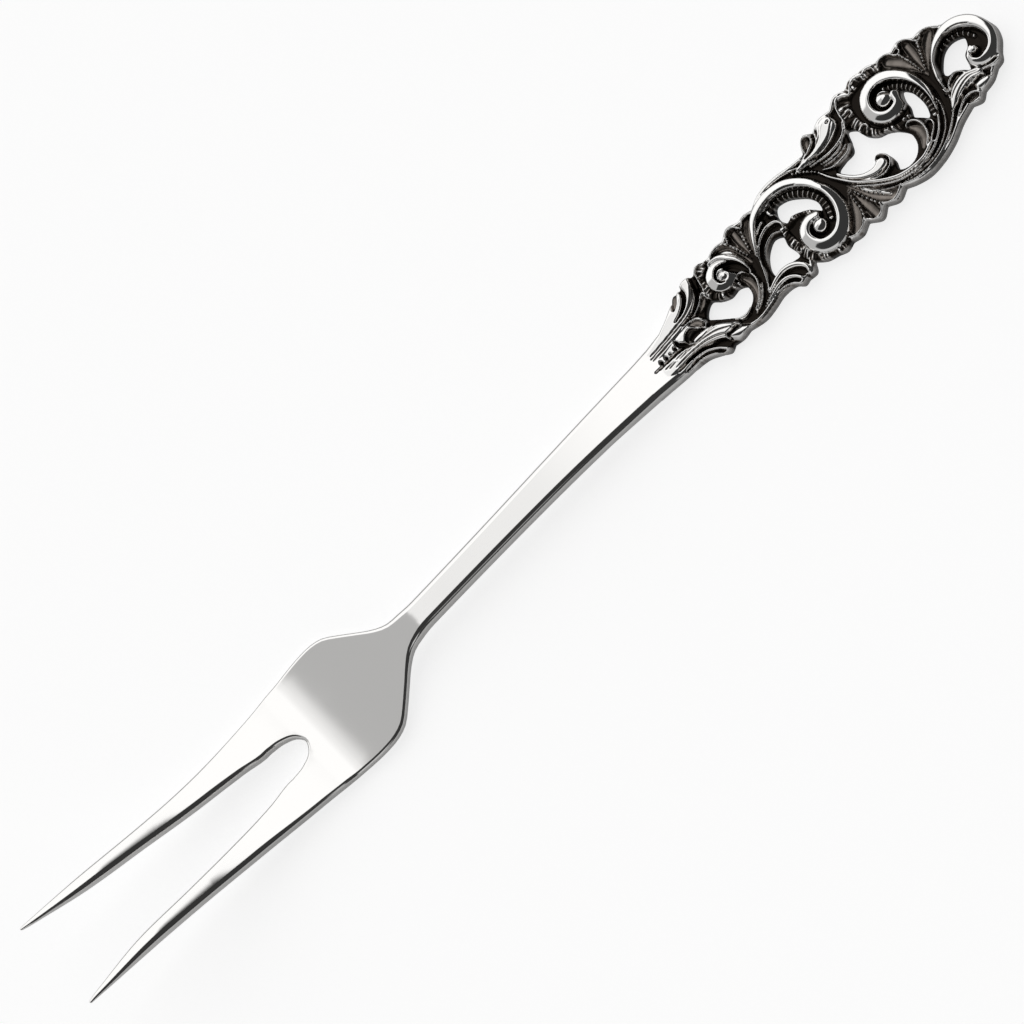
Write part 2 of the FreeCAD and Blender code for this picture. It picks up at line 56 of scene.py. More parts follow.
# Places along the fork
CARVED_X = 22.0
HANDLE_X = 28.0
STEM_END_X = 30.0
NECK_X = -24.0
ROOT_X = -45.3
SLOT_X = -50.0
LOW_X = -43.0
ARC_END_X = -26.5
TINE_LENGTH = ROOT_X - TIP_X
PLATE_LENGTH = NECK_X - ROOT_X
STEM_LENGTH = HANDLE_X - NECK_X
SHOULDER_RUN = 12.0
SHOULDER_X = NECK_X - SHOULDER_RUN / 2
NECK_BLEND = 1.8
CREST_X = ARC_END_X + 2 * NECK_BLEND
WAIST_RUN = 2.5

# Form of the shank
PLATE_HALF = 9.26
NECK_HALF = 2.15
STEM_HALF = 3.43
TINE_HALF = 7.2
TINE_TIP_HALF = 7.45
TINE_WIDTH = 2.85
TIP_WIDTH = 0.7
SLOT_HALF = 2.6
STEM_THICK = 2.6
STEM_END_THICK = 2.1
PLATE_THICK = 1.66
TINE_THICK = 2.3
TIP_THICK = 0.7
TINE_ANGLE = math.radians(18.5)
TINE_BEND = 74.0
PLATE_BEND = 95.0
FALL_POWER = 4

# Radius of the long edges
STEM_ROUND = 0.95
PLATE_ROUND = 0.5
TINE_ROUND = 0.75
TIP_ROUND = 0.28
CARVED_ROUND = 0.3
STEM_ROUND_END_X = 25.0
LOW_ROUND = 0.12
LOW_ROUND_FADE = 10.0

# Fineness of the shank's mesh
SHANK_SPACING = 0.9
SLOT_SPACING = 0.4
CAP_STEPS = 7
ROUND_STEPS = 8
SEED_SPACING = 1.0
SEED_Y = (-8.5, 8.6)
SEED_CLEAR = 0.5
END_CLEAR = 0.3
TIP_CLEAR = 2.0
TOLERANCE = 0.001
MERGE = 1e-7

# Shape of the outer edge: share of the length of tines, plate, shoulder or stem, and of the way from the
# smaller half width to the larger
TINE_FLARE = [(0.45, 0.0), (0.67, 0.1), (0.9, 0.44)]
PLATE_FLARE = [(0.11, 0.82), (0.34, 1.0)]
SHOULDER = [(1.0, 0.985), (0.83, 0.9), (0.67, 0.7), (0.5, 0.46), (0.33, 0.23), (0.17, 0.08), (0.0, 0.03)]
STEM_FLARE = [(WAIST_RUN / STEM_LENGTH, 0.0), (0.5, 0.2), (0.88, 0.71), (1.0, 1.0)]

# Taper of one tine: share of its length from the tip, and of its width at the middle
TINE_TAPER = [(0.22, 0.72), (0.45, 0.97), (0.67, 1.33), (0.79, 1.6)]
TINE_FULL = (0.3, 0.67)
TIP_RUN = 0.03
TIP_BLUNT = 0.6
SLOT_END = [(SLOT_X, SLOT_HALF), (-47.9, 2.29), (-46.0, 1.35), (ROOT_X, 0.0)]

# Levels in the carving
WEB = 1.35
FOOT = 1.1
RIM = 1.75
LOW = 2.15
MID = 2.5
HIGH = 2.95

# Grid of the carving, and places along it where it takes over from the plain stem
GRID = 0.1
GRID_PAST_END = 0.4
GRID_Y = (-9.6, 9.7)
FAR = 1e9
EDGE_REACH = 1.5
PLAIN_STEM = (31.0, 27.0)
BRIGHT_STEM = (30.0, 28.0)
RIM_STARTS = (36.0, 38.0)
EDGE_DARKENING_STARTS = (30.0, 34.0)
JOINING_RUN = 1.5
LEAST_EDGE = 0.75
OUTLINE_SPACING = 0.25
HOLE_SPACING = 0.2

# The raised rim inside the edge, softening of the carving, patina in its hollows, and darkening at the edge
RIM_AT = 0.2
RIM_FADE = (0.42, 0.2)
RIM_RISE = 0.8
SOFTEN = 0.06
BLACK_SOFTEN = 0.07
HOLLOW_RADIUS = 0.35
HOLLOW_TARNISH = (0.15, 0.45)
EDGE_DARKENING = 0.4
EDGE_DARKENING_RUN = 0.15

# Sections of the ridges: power of the fall to the side, flatness of the top, and share that stays bright
TUBE = (0.5, 3, 0.88)
SWELL = (0.4, 4, 0.93)
BEAD = (0.4, 4, 0.85)
SCROLL = (0.5, 8, 0.93)

# Light of the sky by direction, and of the floor
SOFTBOX = 1.08
SOFT_EDGE = 0.9
LEFT_SCREEN = 0.47
LOW_GREY = 0.55
CAMERA_SIDE = 0.035
SOFTBOX_RISES = [(-0.18, -0.135, SOFT_EDGE - LEFT_SCREEN), (-0.12, 0.08, SOFTBOX - SOFT_EDGE)]
BEHIND = (0.5, 0.6)
NEAR = (0.11, 0.16)
NEAR_SLANT = -0.22
LIFTED = (0.52, 0.62)
SIDE = (0.27, 0.36)
SIDE_SLANT = -0.5
WHITE = (1, 1, 1, 1)
PAPER = (0.5, 0.5, 0.5, 1)
PAPER_GLOW = 0.78
MIRRORED_GLOW = 0.2
FLOOR_HALF = 30.0
FLOOR_GAP = 0.00002

# Tones of the silver by how blackened it is, and the noise that stains and wears it
TONES = [(0.12, (0.93, 0.92, 0.905, 1)), (0.55, (0.28, 0.25, 0.225, 1)), (0.92, (0.022, 0.018, 0.015, 1))]
STAIN = 0.35
STAIN_NOISE = (900.0, 4.0)
CLOUD_NOISE = (160.0, 6.0)
SCRATCH_NOISE = (1.0, 3.0)
TARNISH_ROUGHNESS = 0.3
POLISH = {"From Min": 0.3, "From Max": 0.75, "To Min": 0.05, "To Max": 0.11}
SCRATCH_STRETCH = (60.0, 2400.0, 400.0)
SCRATCH = {"Strength": 0.03, "Distance": 0.00002}

# The photograph's view
VIEW_ACROSS = (0.9942, 0.0372, -0.1015)
VIEW_ALONG = (0.0, 0.939, 0.3427)
VIEW_TURN = math.radians(46.35)
VIEW_CENTRE = (-3.59 * MM, -1.19 * MM)
VIEW_DISTANCE = 4.0
PIXELS_PER_METRE = 7371.0
PICTURE_SIDE = 1024
SENSOR = 36.0

# Edge of the handle from the stem round its end and back, one run per scallop, each from the last one's end
OUTLINE = [
    [(30, 4.1), (31.5, 4.95), (33, 6.05), (33.9, 5.7)],
    [(35.2, 6.2), (36.95, 6)],
    [(38, 6.6), (39.1, 6.25)],
    [(40, 6.05)],
    [(41.6, 6.5), (43.05, 6.25)],
    [(44.6, 7.1), (46.4, 6.5)],
    [(47.5, 6.65), (48.9, 6.3)],
    [(50.5, 7.05), (52.5, 7.35), (54.5, 7.2), (56.5, 6.75), (59.1, 6.4)],
    [(59.9, 7.7), (60.8, 8.35), (62.1, 7.6)],
    [(63.9, 8.35), (65.9, 8.1)],
    [(67.6, 9.05), (69.35, 8.55)],
    [(70.7, 9.1), (72.4, 8.85)],
    [(73.7, 8.65), (74.9, 8.05)],
    [(76.2, 8.1), (77.4, 7.55)],
    [(79.2, 7.85), (80.9, 6.7)],
    [(82.9, 6.5), (84.95, 5)],
    [(87, 4.35), (88.8, 2.9), (89.75, 1), (90, -0.5), (89.5, -2.1), (88.1, -3.7)],
    [(87.4, -4.6), (86.2, -4.85)],
    [(84.6, -5.65), (82.8, -5.9)],
    [(81.7, -6.6), (80.1, -6.05)],
    [(77.7, -6.7), (75, -7.85), (72, -8.55), (69.5, -8.6), (67.3, -7.95), (65.9, -7.25)],
    [(64.1, -7.9), (62.35, -7.05)],
    [(60.8, -7.95), (58.95, -6.8)],
    [(57.3, -7.45), (55.6, -7.1)],
    [(54.3, -7.4), (52.95, -6.85)],
    [(51.4, -6.3), (50.05, -5.1)],
    [(49.2, -6.35), (47.8, -6.25)],
    [(46.9, -6.4), (46, -5.6), (44, -5.2), (41.8, -5.55), (40, -5.75), (37.2, -5.15)],
    [(35.8, -5.3), (34.35, -5)],
    [(33.4, -5.4), (32.2, -4.7), (30.5, -3.8), (28, -3.43)],
]

# Piercings between the scrolls and leaves, each a closed curve
PIERCINGS = [
    [(34.2, 0.3), (35.1, 1.3), (36.1, 1.65), (37.1, 0.8), (38.4, 0.1), (40.2, 0.1), (41.05, -0.5),
     (40.9, -2), (39.5, -3.05), (37.6, -2.95), (36.4, -2), (35.2, -0.9)],
    [(44.8, -1.9), (45.6, -0.2), (46.8, 0.85), (48.2, 1.35), (49.3, 0.7), (49, -0.9), (49.15, -3.1),
     (47.8, -2.9), (46.2, -2.7), (44.95, -2.8)],
    [(50.6, 3.1), (51.4, 4.3), (52.8, 4.1), (54.4, 3), (55.6, 1.6), (56, 0), (55.7, -0.85), (54.9, 0),
     (53.8, 0.85), (52.3, 1.5), (51.1, 1.5)],
    [(61, 1.4), (62.4, 1.7), (64.2, 1.85), (64.9, 3), (65.6, 4.4), (66.5, 3.7), (67, 2), (68.1, 0.7),
     (69.3, 0.2), (70.8, -1.1), (71.6, -2.7), (71.2, -4.3), (69.8, -5.4), (68.2, -5.5), (67.1, -4.8),
     (67.5, -3.4), (67.2, -1.9), (66.2, -1.35), (65.1, -2.1), (63.6, -1.9), (62.1, -0.8)],
    [(74.2, 1.8), (74.75, 2.7), (75.4, 1.9), (75.8, 0.1), (75.6, -1.8), (75, -2.8), (74.2, -2), (73.45, -1),
     (74, 0.4)],
    [(80.4, 0.1), (81.3, 1.4), (82.7, 2.35), (84.4, 2.45), (85.9, 1.5), (85.4, 0.3), (84.3, -0.4),
     (83.95, -1.3), (83.5, -2.3), (82.7, -1.5), (81.6, -0.75), (80.7, -0.6)],
]

# The carving, in the order it is laid down. A row is the kind of stroke, its middle line, its half width
# at the start, widest and end, and its height. Kinds: swell is a broad flat-topped body, scroll a ribbon
# that falls away from its eye, dome a shallow boss, tube a round ridge, hollow a scooped lobe with bright
# edges, band a black scooped band with walls, line an engraved line, beads a row of drops, ladder short
# ribs across a band, and ruffle a frilled strip. A scroll or dome also gives its fall, and beads, ladder
# and ruffle give how many there are.
BASE_LEAVES = [
    ("swell", [(17, 1.6), (26, 2.3), (30.5, 3.1), (34, 4.3), (35.4, 5.6)], (2.2, 2.2, 1.3), 2.7),
    ("swell", [(17, -1.3), (26, -1.4), (30.5, -1.6), (34, -2.4), (36, -4)], (1.9, 1.5, 1.2), 2.7),
    ("swell", [(24, 0.4), (27, 0.45), (30, 0.5), (33, 0.6)], (0.9, 1, 0.9), 2.5),
    ("band", [(24.2, -0.3), (26.5, -0.38), (29, -0.6), (30.6, -1.05)], (0.06, 0.2, 0.3), 1.8),
    ("hollow", [(30.6, -0.35), (31.2, 0), (32, -0.1)], (0.65, 0.85, 0.7), 1.6),
    ("band", [(30.8, -0.3), (31.6, -0.2), (32.4, -0.4)], (0.4, 0.55, 0.3), 1.4),
    ("band", [(28.9, 0.85), (28.95, 0.25), (29.4, -0.2), (29.9, -0.7)], (0.2, 0.34, 0.24), 1.7),
    ("band", [(25.6, 0.45), (25.65, 0)], (0.06, 0.24, 0.2), 1.9),
    ("band", [(26.5, 0.45), (26.55, 0)], (0.06, 0.2, 0.18), 1.9),
    ("band", [(27.3, 0.35), (27.35, 0.05)], (0.05, 0.14, 0.12), 2),
    ("band", [(28.25, 0.5), (28.3, 0.05)], (0.06, 0.22, 0.2), 1.9),
    ("hollow", [(32, 1.15), (32.7, 0.75), (33.2, 0.1)], (0.25, 0.5, 0.35), 1.9),
    ("hollow", [(31.75, 4.15), (32.3, 4.75), (32.85, 5.35)], (0.16, 0.42, 0.42), 1.75),
    ("band", [(30.9, 2.8), (32.2, 3.1), (33.4, 3.75), (34.2, 4.7), (34.3, 5.7)], (0.04, 0.3, 0.34), 1.6),
    ("band", [(34, 2.35), (35.3, 3.2), (36.1, 4.4), (36.55, 5.8)], (0.1, 0.36, 0.4), 1.35),
    ("tube", [(35.6, 2.7), (36.4, 3.6), (36.85, 4.6), (37.3, 5.7), (38, 6.25), (38.7, 6.3)],
     (0.12, 0.17, 0.14), MID),
    ("line", [(25.2, 1.85), (30, 2.2), (33, 2.65), (34.6, 3.4), (35.8, 4.8)], (0.06, 0.09, 0.1), 0.3),
    ("line", [(25, 1.5), (30, 1.85), (33, 2.1), (34.6, 2.75), (36, 4.1)], (0.06, 0.09, 0.1), 0.3),
    ("line", [(25.1, 1.15), (28.8, 1.35)], (0.06, 0.11, 0.06), 0.35),
    ("band", [(31, 1.75), (33, 1.8), (34.8, 2), (35.9, 2.5)], (0.04, 0.16, 0.2), 1.6),
    ("hollow", [(34.3, 1.6), (35.2, 1.95), (35.9, 2.5)], (0.15, 0.32, 0.2), 1.6),
    ("tube", [(32.8, 1.75), (33.9, 1.95), (34.9, 2.4), (35.7, 3.2)], (0.08, 0.13, 0.08), LOW),
    ("tube", [(30.4, 1.35), (31.8, 1.55), (33, 1.25), (33.7, 0.55), (33.75, -0.3), (33.4, -0.65),
     (33, -0.4)], (0.1, 0.15, 0.12), MID),
    ("tube", [(30, -0.5), (29.95, 0.2), (30.5, 0.85), (31.4, 0.95), (32.1, 0.5), (32.7, -0.2)],
     (0.1, 0.13, 0.1), LOW),
    ("tube", [(30.1, -0.6), (30.7, -1), (31.5, -1), (32.3, -0.75)], (0.08, 0.13, 0.1), LOW),
    ("line", [(25.5, -1), (29, -1.15), (31, -1.4), (33, -1.55), (34.6, -1.9)], (0.03, 0.07, 0.06), 0.25),
    ("line", [(26, -1.3), (29.5, -1.45), (32, -1.75), (34, -2.3), (36, -3.4)], (0.03, 0.08, 0.07), 0.28),
    ("line", [(26.6, -1.85), (30, -1.95), (32.5, -2.4), (34.2, -3.2), (35.4, -4.2)], (0.05, 0.1, 0.08),
     0.3),
    ("line", [(27, -2.2), (30, -2.3), (32.5, -2.9), (34, -3.8), (34.7, -4.7)], (0.05, 0.12, 0.08), 0.3),
    ("line", [(32.6, -1.35), (34.4, -1.5), (35.6, -2.2), (36.4, -3.2), (36.9, -4.2)], (0.04, 0.08, 0.07),
     0.25),
    ("dome", [(35.2, -4.2), (36.2, -4.6), (37.3, -5)], (0.7, 1.15, 0.7), 2.15, 1),
    ("line", [(33.4, -1.2), (34.6, -1.15), (35.7, -1.75), (36.2, -2.3)], (0.04, 0.07, 0.05), 0.2),
    # The two bands below are blackened for a dark reflection across the leaf as well as for patina in their
    # grooves: painted reflection.
    ("band", [(26.6, -2.45), (30, -2.55), (32, -3.15), (33.4, -4.2), (34.2, -5.2)], (0.1, 0.22, 0.24), 1.5),
    ("band", [(27.4, -3.15), (30.5, -3.35), (32.2, -4.1), (33.2, -5.1)], (0.1, 0.26, 0.2), 1.5),
    ("tube", [(26.6, -2.75), (29.6, -2.85), (31.4, -3.3), (32.6, -4.1), (33.6, -5.2)], (0.1, 0.2, 0.24),
     MID),
    ("tube", [(28, -3.3), (30.4, -3.6), (31.8, -4.3), (32.8, -5.2), (33.4, -5.25)], (0.12, 0.2, 0.2), LOW),
]

FIRST_SCROLL = [
    ("ruffle", [(40.6, 0.2), (38.9, 0.25), (37.5, 0.9), (36.8, 2.2), (36.9, 3.9), (37.7, 5.3), (39.2, 5.9)],
     (0.45, 0.8, 0.5), 2.1, 15),
    ("tube", [(36.4, 2.7), (36.75, 3.6), (37, 4.6), (37.5, 5.8), (38.3, 6.3)], (0.08, 0.15, 0.1), 2.4),
    ("tube", [(36, 2.75), (36.5, 2.7), (36.7, 2.3), (36.45, 2), (36.1, 2.15)], (0.1, 0.13, 0.1), LOW),
    ("hollow", [(44, 1.2), (43.6, 3), (42.7, 4.6), (41.5, 5.6)], (0.15, 0.95, 0.85), 1.3),
    ("swell", [(43.2, 3.4), (42.4, 4.7), (41.3, 5.4)], (0.12, 0.32, 0.2), 1.75),
    ("hollow", [(45, 1.6), (45.7, 3), (46.8, 4.6), (47.8, 5.7)], (0.12, 0.8, 0.7), 1.3),
    ("hollow", [(44.6, 2.3), (44.65, 3.8), (44.75, 5.2), (44.85, 6)], (0.1, 0.62, 0.72), 1.25),
    ("tube", [(45.6, 2.4), (46.8, 4.1), (48.2, 5.5)], (0.06, 0.2, 0.1), 1.7),
    ("beads", [(44.15, 2.3), (43.95, 3.2), (43.75, 4), (43.45, 4.8)], (0.12, 0.21, 0.24), 2.3, 6),
    ("beads", [(44.85, 2.4), (45.1, 3.2), (45.35, 4.1), (45.75, 5.1)], (0.12, 0.21, 0.24), 2.3, 6),
    ("tube", [(40.1, 5.55), (41, 6.05), (42, 6.15), (42.9, 5.9), (43.1, 5.5), (43.4, 5.4), (43.65, 5.7)],
     (0.1, 0.18, 0.14), 2.5),
    ("tube", [(43.65, 5.7), (43.9, 6.3), (44.6, 6.65), (45.4, 6.5), (45.8, 5.9), (46.1, 5.6), (46.5, 5.7)],
     (0.14, 0.2, 0.14), 2.5),
    ("tube", [(46.5, 5.7), (46.9, 6.1), (47.6, 6.25), (48.4, 6.05), (48.9, 5.6)], (0.14, 0.18, 0.14), 2.5),
    ("tube", [(38.5, 6.2), (38.8, 5.95), (39.15, 5.95), (39.4, 6.2)], (0.1, 0.13, 0.1), LOW),
    ("band", [(44.35, 1.4), (43.9, -0.4), (43.1, -2.2), (42.2, -3.6), (40.8, -4.4)], (0.4, 0.6, 0.3), 1.3),
    ("hollow", [(41.5, 0.5), (41.9, -0.6), (41.7, -2.1), (40.7, -3.4)], (0.35, 0.6, 0.3), 1.3),
    ("line", [(42.6, -0.5), (42.5, -1.6), (41.8, -2.8), (40.6, -3.8)], (0.05, 0.08, 0.05), 0.3),
    ("tube", [(40.95, 0.75), (41.2, 1.15), (41.8, 1.15), (42.4, 0.7), (42.85, 0), (42.95, -0.9),
     (42.6, -1.9), (41.9, -2.9), (40.9, -3.7), (39.9, -4.2)], (0.12, 0.22, 0.12), MID),
    ("tube", [(43.05, -2), (42.2, -3.1), (41.1, -3.95), (39.6, -4.5)], (0.08, 0.12, 0.08), LOW),
    ("tube", [(36.9, -2.8), (37.6, -3.35), (38.6, -3.6), (39.5, -3.35)], (0.1, 0.3, 0.18), LOW),
    ("tube", [(45.3, 1.1), (44.75, -0.3), (44.15, -1.7), (43.6, -2.8), (43, -3.7)], (0.1, 0.16, 0.13), MID),
    ("scroll", [(43.15, 0.1), (43.25, 1.4), (42.8, 2.9), (41.9, 4.05), (40.9, 4.7), (39.9, 4.8)],
     (0.2, 0.5, 0.75), HIGH, 0.3),
    ("dome", [(39.6, 2.75), (39.75, 2.8)], (2.25, 2.35, 2.25), HIGH, 0.6),
    ("band", [(42.8, 0.5), (42.5, 1.7), (41.8, 2.9), (40.8, 3.6), (39.9, 3.75), (39.2, 3.3), (38.95, 2.6),
     (39.15, 2.05), (39.6, 1.75)], (0.35, 0.3, 0.06), 1.3),
    ("band", [(41.9, 1.6), (41.5, 2.4), (40.9, 2.9)], (0.4, 0.65, 0.35), 1.3),
    ("dome", [(39.85, 2.55), (40, 2.35)], (0.62, 0.66, 0.62), 2.85, 0.35),
    ("line", [(43.3, 0.2), (43.4, 1.5), (43, 3), (42.2, 4.2)], (0.05, 0.08, 0.05), 0.4),
]

COMMA_LEAVES = [
    ("band", [(44.9, -0.6), (45.9, 0.9), (47.4, 2), (48.9, 2.25), (50.1, 1.9)], (0.15, 0.42, 0.3), 1.3),
    ("tube", [(45, -1.4), (45.9, 0.3), (47.2, 1.35), (48.6, 1.7), (49.8, 1.2)], (0.08, 0.14, 0.1), LOW),
    ("tube", [(45.1, 0.4), (46, 1.6), (47.4, 2.55), (49, 2.9), (50.2, 2.5), (50.6, 1.7), (50.2, 1)],
     (0.12, 0.3, 0.3), MID),
    ("band", [(46.4, 2.4), (47.6, 3.2), (49, 3.45), (50.4, 3)], (0.1, 0.22, 0.2), 1.5),
    ("tube", [(45.9, 2), (47.2, 3.2), (48.6, 3.85), (49.9, 3.85), (50.7, 3.4)], (0.08, 0.2, 0.14), MID),
    ("band", [(46.6, 3), (47.8, 4), (49.4, 4.4), (51, 4.5)], (0.08, 0.2, 0.3), 1.5),
    ("tube", [(45.4, 1.7), (46.6, 3.3), (48, 4.35), (49.6, 4.85), (51.2, 5)], (0.08, 0.15, 0.12), MID),
    ("band", [(42.8, -4.2), (44.6, -3.75), (46.2, -3.75), (47.4, -4.3), (48.2, -5.2), (48.3, -6.1)],
     (0.15, 0.3, 0.3), 1.5),
    ("tube", [(43.2, -3.85), (44.6, -3.35), (46, -3.1), (47.4, -3.4), (48.5, -4.2), (49, -5.1),
     (48.9, -5.9)], (0.25, 0.52, 0.4), MID),
    ("tube", [(43.4, -3.5), (43, -3.55), (42.9, -3.95), (43.3, -4.1)], (0.1, 0.14, 0.1), MID),
    ("tube", [(41.5, -4.9), (43, -4.5), (44.5, -4.15), (46, -4.3), (47, -5), (47.5, -5.8)],
     (0.1, 0.36, 0.3), MID),
    ("band", [(43.4, -4.85), (45, -4.75), (46.1, -5), (46.9, -5.8)], (0.08, 0.2, 0.16), 1.5),
    ("tube", [(38, -5.1), (39.6, -5.3), (41.8, -5.1), (43.8, -4.75), (45.3, -4.95), (46.3, -5.7)],
     (0.14, 0.2, 0.16), LOW),
    ("line", [(38, -5.45), (40, -5.6), (42, -5.35), (44, -5), (45.4, -5.2), (46.4, -6.1)],
     (0.06, 0.1, 0.08), 0.4),
    ("beads", [(41.2, -4.75), (43, -3.95)], (0.14, 0.16, 0.14), 2, 6),
    ("tube", [(49.3, -5.4), (49.1, -6), (48.6, -6.1), (48.2, -5.8)], (0.16, 0.2, 0.14), LOW),
]

SECOND_SCROLL = [
    ("ruffle", [(50, 1.2), (51.2, 0.95), (52.4, 1.25), (53.6, 0.75), (54.6, 0), (55.3, -0.9)],
     (0.3, 0.5, 0.3), 2.2, 11),
    ("ruffle", [(50.1, 0.9), (49.9, -0.6), (49.9, -2.2), (50.2, -3.8), (51, -5.1), (52.3, -6.1),
     (53.8, -6.7), (55.4, -6.9)], (0.5, 0.85, 0.5), 2.1, 20),
    ("hollow", [(60.3, -1.4), (59.6, -3.4), (58.6, -5.2), (57.3, -6.6)], (0.1, 0.95, 1), 1.25),
    ("hollow", [(60.4, -1), (61.3, -3.2), (62.8, -5.4), (64.2, -6.9)], (0.1, 1, 1), 1.25),
    ("hollow", [(60.3, -1.6), (60.5, -3.6), (60.7, -5.6), (60.75, -6.9)], (0.1, 0.85, 0.9), 1.2),
    ("tube", [(60.9, -1.6), (62.2, -3.9), (64, -6.4)], (0.06, 0.3, 0.2), 1.55),
    ("beads", [(60.1, -2.2), (59.9, -3.6), (59.75, -5), (59.2, -6.4)], (0.12, 0.2, 0.24), MID, 8),
    ("beads", [(60.5, -2.1), (60.95, -3.6), (61.4, -4.9), (62.1, -6.5)], (0.12, 0.2, 0.24), MID, 8),
    ("tube", [(55.8, -6.6), (56.5, -7.05), (57.4, -7.15), (58.4, -6.9), (59, -6.3)], (0.12, 0.2, 0.14),
     2.4),
    ("tube", [(59.1, -6.4), (59.7, -7.3), (60.7, -7.65), (61.7, -7.3), (62.2, -6.6)], (0.12, 0.2, 0.14),
     2.4),
    ("tube", [(62.3, -6.6), (63, -7.3), (64.1, -7.55), (65.2, -7.2), (66, -6.7)], (0.12, 0.24, 0.14), 2.4),
    ("tube", [(48.7, 5.7), (50.5, 6.55), (52.5, 6.85), (54.5, 6.65), (56.5, 6.05), (58.4, 5.2)],
     (0.12, 0.2, 0.12), LOW),
    ("scroll", [(45.1, 0.9), (46.6, 3.2), (48.3, 5), (50.3, 5.75), (52.4, 5.8), (54.4, 5.25), (56.1, 4),
     (57.2, 2.6), (57.8, 1.2)], (0.15, 0.78, 0.62), HIGH, 0.25),
    ("scroll", [(57.5, 2.2), (58.1, 0.6), (58.25, -1), (57.9, -2.8), (56.9, -4.4), (55.4, -5.35),
     (53.8, -5.4), (52.4, -4.7), (51.75, -3.5), (51.75, -2.1), (52.5, -1.1), (53.6, -0.75), (54.6, -1)],
     (0.55, 1.15, 0.85), HIGH, 0.75),
    ("line", [(46.2, 1.9), (48.2, 4.3), (50.2, 5.15), (52.2, 5.35), (54.2, 4.9), (55.6, 4)],
     (0.04, 0.08, 0.05), 0.25),
    ("band", [(49.2, 3.9), (51.2, 4.4), (53.3, 4.15), (55, 3.05), (56.2, 1.4), (56.6, -0.2), (56.4, -1.8),
     (55.8, -2.9)], (0.3, 0.75, 0.35), 1.3),
    ("band", [(56.2, -1.9), (55.6, -3.2), (54.7, -3.95), (53.7, -3.85), (53, -3.2), (52.85, -2.4),
     (53.3, -1.8)], (0.35, 0.3, 0.06), 1.3),
    ("ladder", [(50.4, 4.2), (52.4, 4.35), (54.1, 3.75), (55.6, 2.4), (56.45, 0.8), (56.6, -1), (56, -2.7)],
     (0.5, 0.62, 0.4), 2.05, 16),
    ("dome", [(54.1, -2.55), (54.25, -2.5)], (1.05, 1.1, 1.05), 2.85, 0.5),
    ("tube", [(49.85, -2.3), (49.5, -2.5), (49.55, -2.95), (49.95, -3), (50.1, -2.65)], (0.1, 0.13, 0.1),
     LOW),
]

